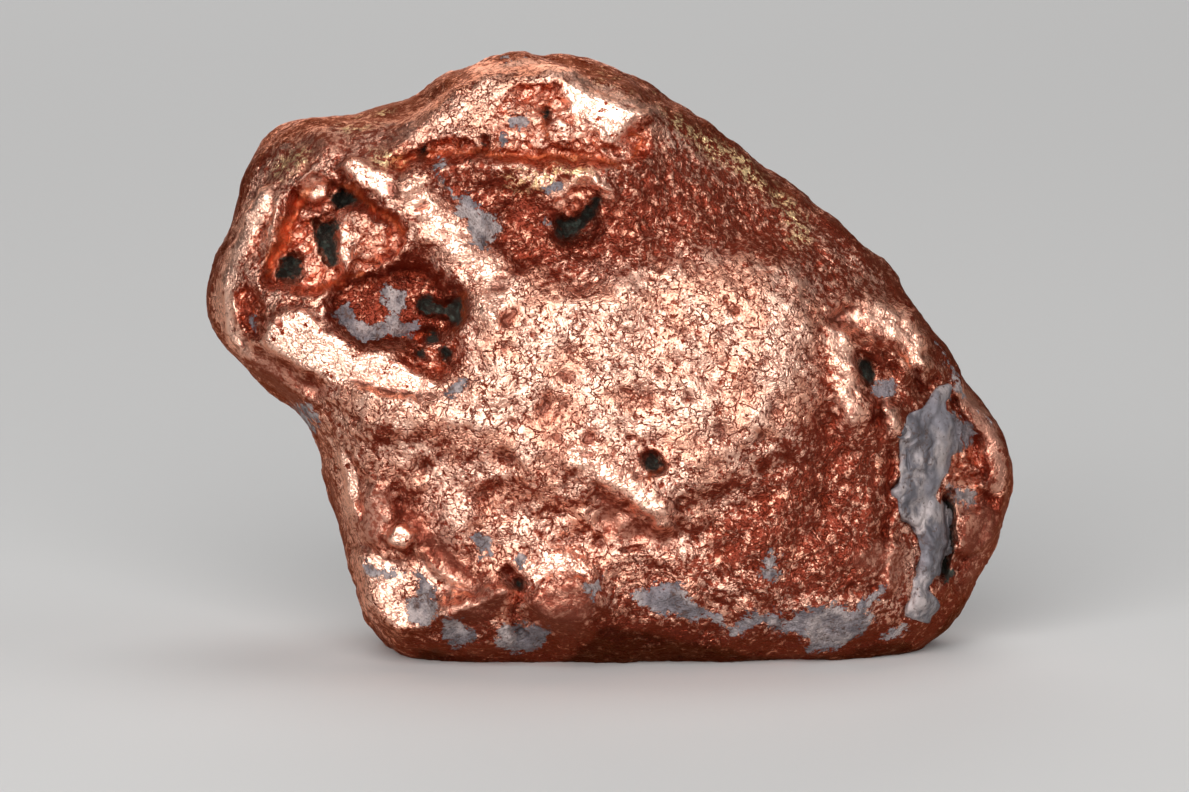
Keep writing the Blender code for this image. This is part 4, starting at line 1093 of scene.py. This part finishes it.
def copper_material():
    """Worn native copper: bright crackled plates, red-brown hollows, grey films and gold tarnish with
    painted glints, with painted shade and painted orange reflections.
    """
    made, tree, shader = new_material("native_copper")
    place, pushed = millimetres(tree), millimetres(tree, 0.55)
    worn, smooth, dark, painted_glow, calm = marks_of(tree, "worn", "smooth", "dark", "painted_glow", "calm")
    broken, low, golden, filmy, holed = marks_of(tree, "ragged", "recess", "gold", "film", "hole")
    clouds = place.noise(1.5, 2.0)
    grain = place.noise(6.5, 5.0, 0.7)
    patchy = place.noise(2.6, 3.0, 0.6)

    width = grain * grain
    lines = pushed.cracks(2.1, width * 0.30) * clouds.step(0.42, 0.54)
    fine = pushed.cracks(5.0, width * 0.5) * clouds.step(0.58, 0.44)
    specks = place.noise(9.0, 6.0, 0.75).step(0.445, 0.385)
    lines = (lines.most(fine) * patchy.step(0.37, 0.50)).most(specks)
    chips = place.noise(3.0, 5.0, 0.7).step(0.40, 0.38)
    lines = (lines * smooth.step(0.0, 1.0, 1.0, 0.6)).most(chips * smooth)
    lines = lines * calm.step(0.0, 1.0, 1.0, 0.4)

    cover = dark.least(0.9) * 0.14 + 0.515 - grain - worn * 0.14
    cover = ((0.5 - patchy) * 0.30 + cover).step(-0.03, 0.09)
    fold = (broken * -0.04 + low).step(0.005, 0.035, 0.0, 0.85) * calm.step(0.0, 1.0, 1.0, 0.3)
    deep = fold.most(lines)
    areas = place.noise(1.1, 3.0).step(0.40, 0.58).most(smooth)
    bright = areas.blend((0.84, 0.42, 0.29, 1), (1.0, 0.60, 0.45, 1))
    # The dark mark, partly tarnish and partly painted shade, darkens every copper colour
    bright = dark.blend(bright, (0.84, 0.345, 0.21, 1))
    brown = dark.blend((0.26, 0.050, 0.028, 1), (0.17, 0.030, 0.017, 1))
    lowest = broken.blend((0.15, 0.022, 0.010, 1), (0.28, 0.046, 0.018, 1))
    copper = deep.blend(cover.blend(bright, brown), lowest)
    # Painted shade: darker still at the bottom and along the right edge
    copper = copper.scaled(dark.step(1.0, 1.3, 1.0, 0.45))
    # Painted reflection: an orange glow laid into the clean steep creases
    orange = painted_glow.step(0.9, 1.9).blend((0.40, 0.085, 0.028, 1), (0.85, 0.26, 0.11, 1))
    share = painted_glow.least(1.0) * grain.step(0.30, 0.60, 0.45, 0.9)
    copper = share.blend(copper, orange)
    even = grain.step(0.35, 0.65).blend((0.28, 0.080, 0.050, 1), (0.50, 0.20, 0.135, 1))
    even = dark.blend(even, (0.16, 0.040, 0.025, 1))
    copper = (calm * (1.0 - lines)).blend(copper, even)
    copper = (golden * grain.step(0.48, 0.56)).blend(copper, (1.0, 0.72, 0.38, 1))

    torn = place.noise(5.5, 6.0, 0.75) - 0.5
    film = (torn * 0.85 + filmy).step(-0.012, 0.012)
    hole = (torn * 0.45 + holed).step(-0.03, 0.03)
    # Painted shade in the holes: near black with a green tint
    hole_shade = grain.step(0.45, 0.65).blend((0.006, 0.009, 0.008, 1), (0.035, 0.055, 0.046, 1))
    colour = hole.blend(film.blend(copper, mineral_colour(place)), hole_shade)
    bare = 1.0 - film.most(hole)
    rough = (1.0 - bare) * 0.3 + cover.most(deep).step(0.0, 1.0, 0.28, 0.44)
    rough = calm.most(share) * 0.16 + rough

    height = (grain + place.noise(18.0, 2.0)) * 0.036 * smooth.most(calm).step(0.0, 1.0, 1.0, 0.5)
    height = film * 0.015 + (height - lines * 0.016)
    fill(shader, {'Base Color': colour, 'Metallic': bare, 'Roughness': rough, 'Normal': bumped(height),
                  'Specular Tint': (1.0, 0.62, 0.48, 1)})
    return made


def mineral_material():
    """The filling's grey mineral, fine grained and dull."""
    made, tree, shader = new_material("grey_mineral")
    place = millimetres(tree)
    rough = place.noise(6.0).step(0.3, 0.7, 0.55, 0.8)
    relief = bumped(place.noise(7.0, 5.0, 0.6) * 0.04)
    fill(shader, {'Base Color': mineral_colour(place), 'Roughness': rough, 'Normal': relief})
    return made


def make_floor():
    """A plain pale floor, far wider than the view."""
    bpy.ops.mesh.primitive_circle_add(vertices=96, radius=FLOOR_RADIUS, fill_type='NGON')
    floor = bpy.context.object
    floor.name = "floor"
    made, _, shader = new_material("pale_floor")
    fill(shader, {'Base Color': (0.58, 0.575, 0.565, 1), 'Roughness': 0.9})
    floor.data.materials.append(made)


def aim(data, place, direction):
    """Adds a light or the camera at a place, looking along a direction."""
    made = bpy.data.objects.new(data.name, data)
    made.location = place
    made.rotation_euler = direction.to_track_quat('-Z', 'Y').to_euler()
    bpy.context.scene.collection.objects.link(made)
    return made


def make_light(name, place, size, radiance):
    """A round soft light of that radiance, turned to the nugget."""
    lamp = bpy.data.lights.new(name, 'AREA')
    lamp.shape = 'DISK'
    lamp.size = size
    lamp.energy = radiance * pi * pi * (size / 2) ** 2
    aim(lamp, place, Vector(LIT_PLACE) - Vector(place))


def make_world():
    """A dim even light from all around."""
    world = bpy.data.worlds.new("dim_studio")
    world.use_nodes = True
    world.node_tree.nodes["Background"].inputs['Color'].default_value = (0.09, 0.09, 0.095, 1)
    bpy.context.scene.world = world


def make_camera(shift):
    """Looks along the photograph's direction at the middle of its frame."""
    width = PHOTO_SIZE[0] / PHOTO_SCALE * MM
    u, v = np.array(seen(PHOTO_SIZE[0] / 2, PHOTO_SIZE[1] / 2)).T
    target = Vector((leaned(u, 0 * u, v)[0] + shift) * MM)
    toward = Vector((0, -np.cos(LEAN), np.sin(LEAN)))
    lens = bpy.data.cameras.new("camera")
    lens.lens = lens.sensor_width * CAMERA_DISTANCE / width
    lens.clip_start = 0.01
    bpy.context.scene.camera = aim(lens, target + toward * CAMERA_DISTANCE, -toward)


nugget = fine_nugget()
thin_out(nugget, NUGGET_TRIANGLES)
shift = lay_on_frame(nugget, "nugget")
placed = vertices_of(nugget.data) + shift
placed[:, 2] = np.maximum(placed[:, 2], 0)
set_vertices(nugget.data, placed)
mark_nugget(nugget.data, shift)
filling = make_filling(shift)
for piece, node, slot, material in ((nugget, "nugget", "copper", copper_material()),
                                    (filling, "cleft_filling", "grey_mineral", mineral_material())):
    piece.data.shade_smooth()
    piece.data.materials.clear()
    piece.data.materials.append(material)
    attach(piece, "root")
    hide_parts(node)

make_floor()
for light in LIGHTS:
    make_light(*light)
make_world()
make_camera(shift)
bpy.context.scene.view_settings.view_transform = 'Standard'
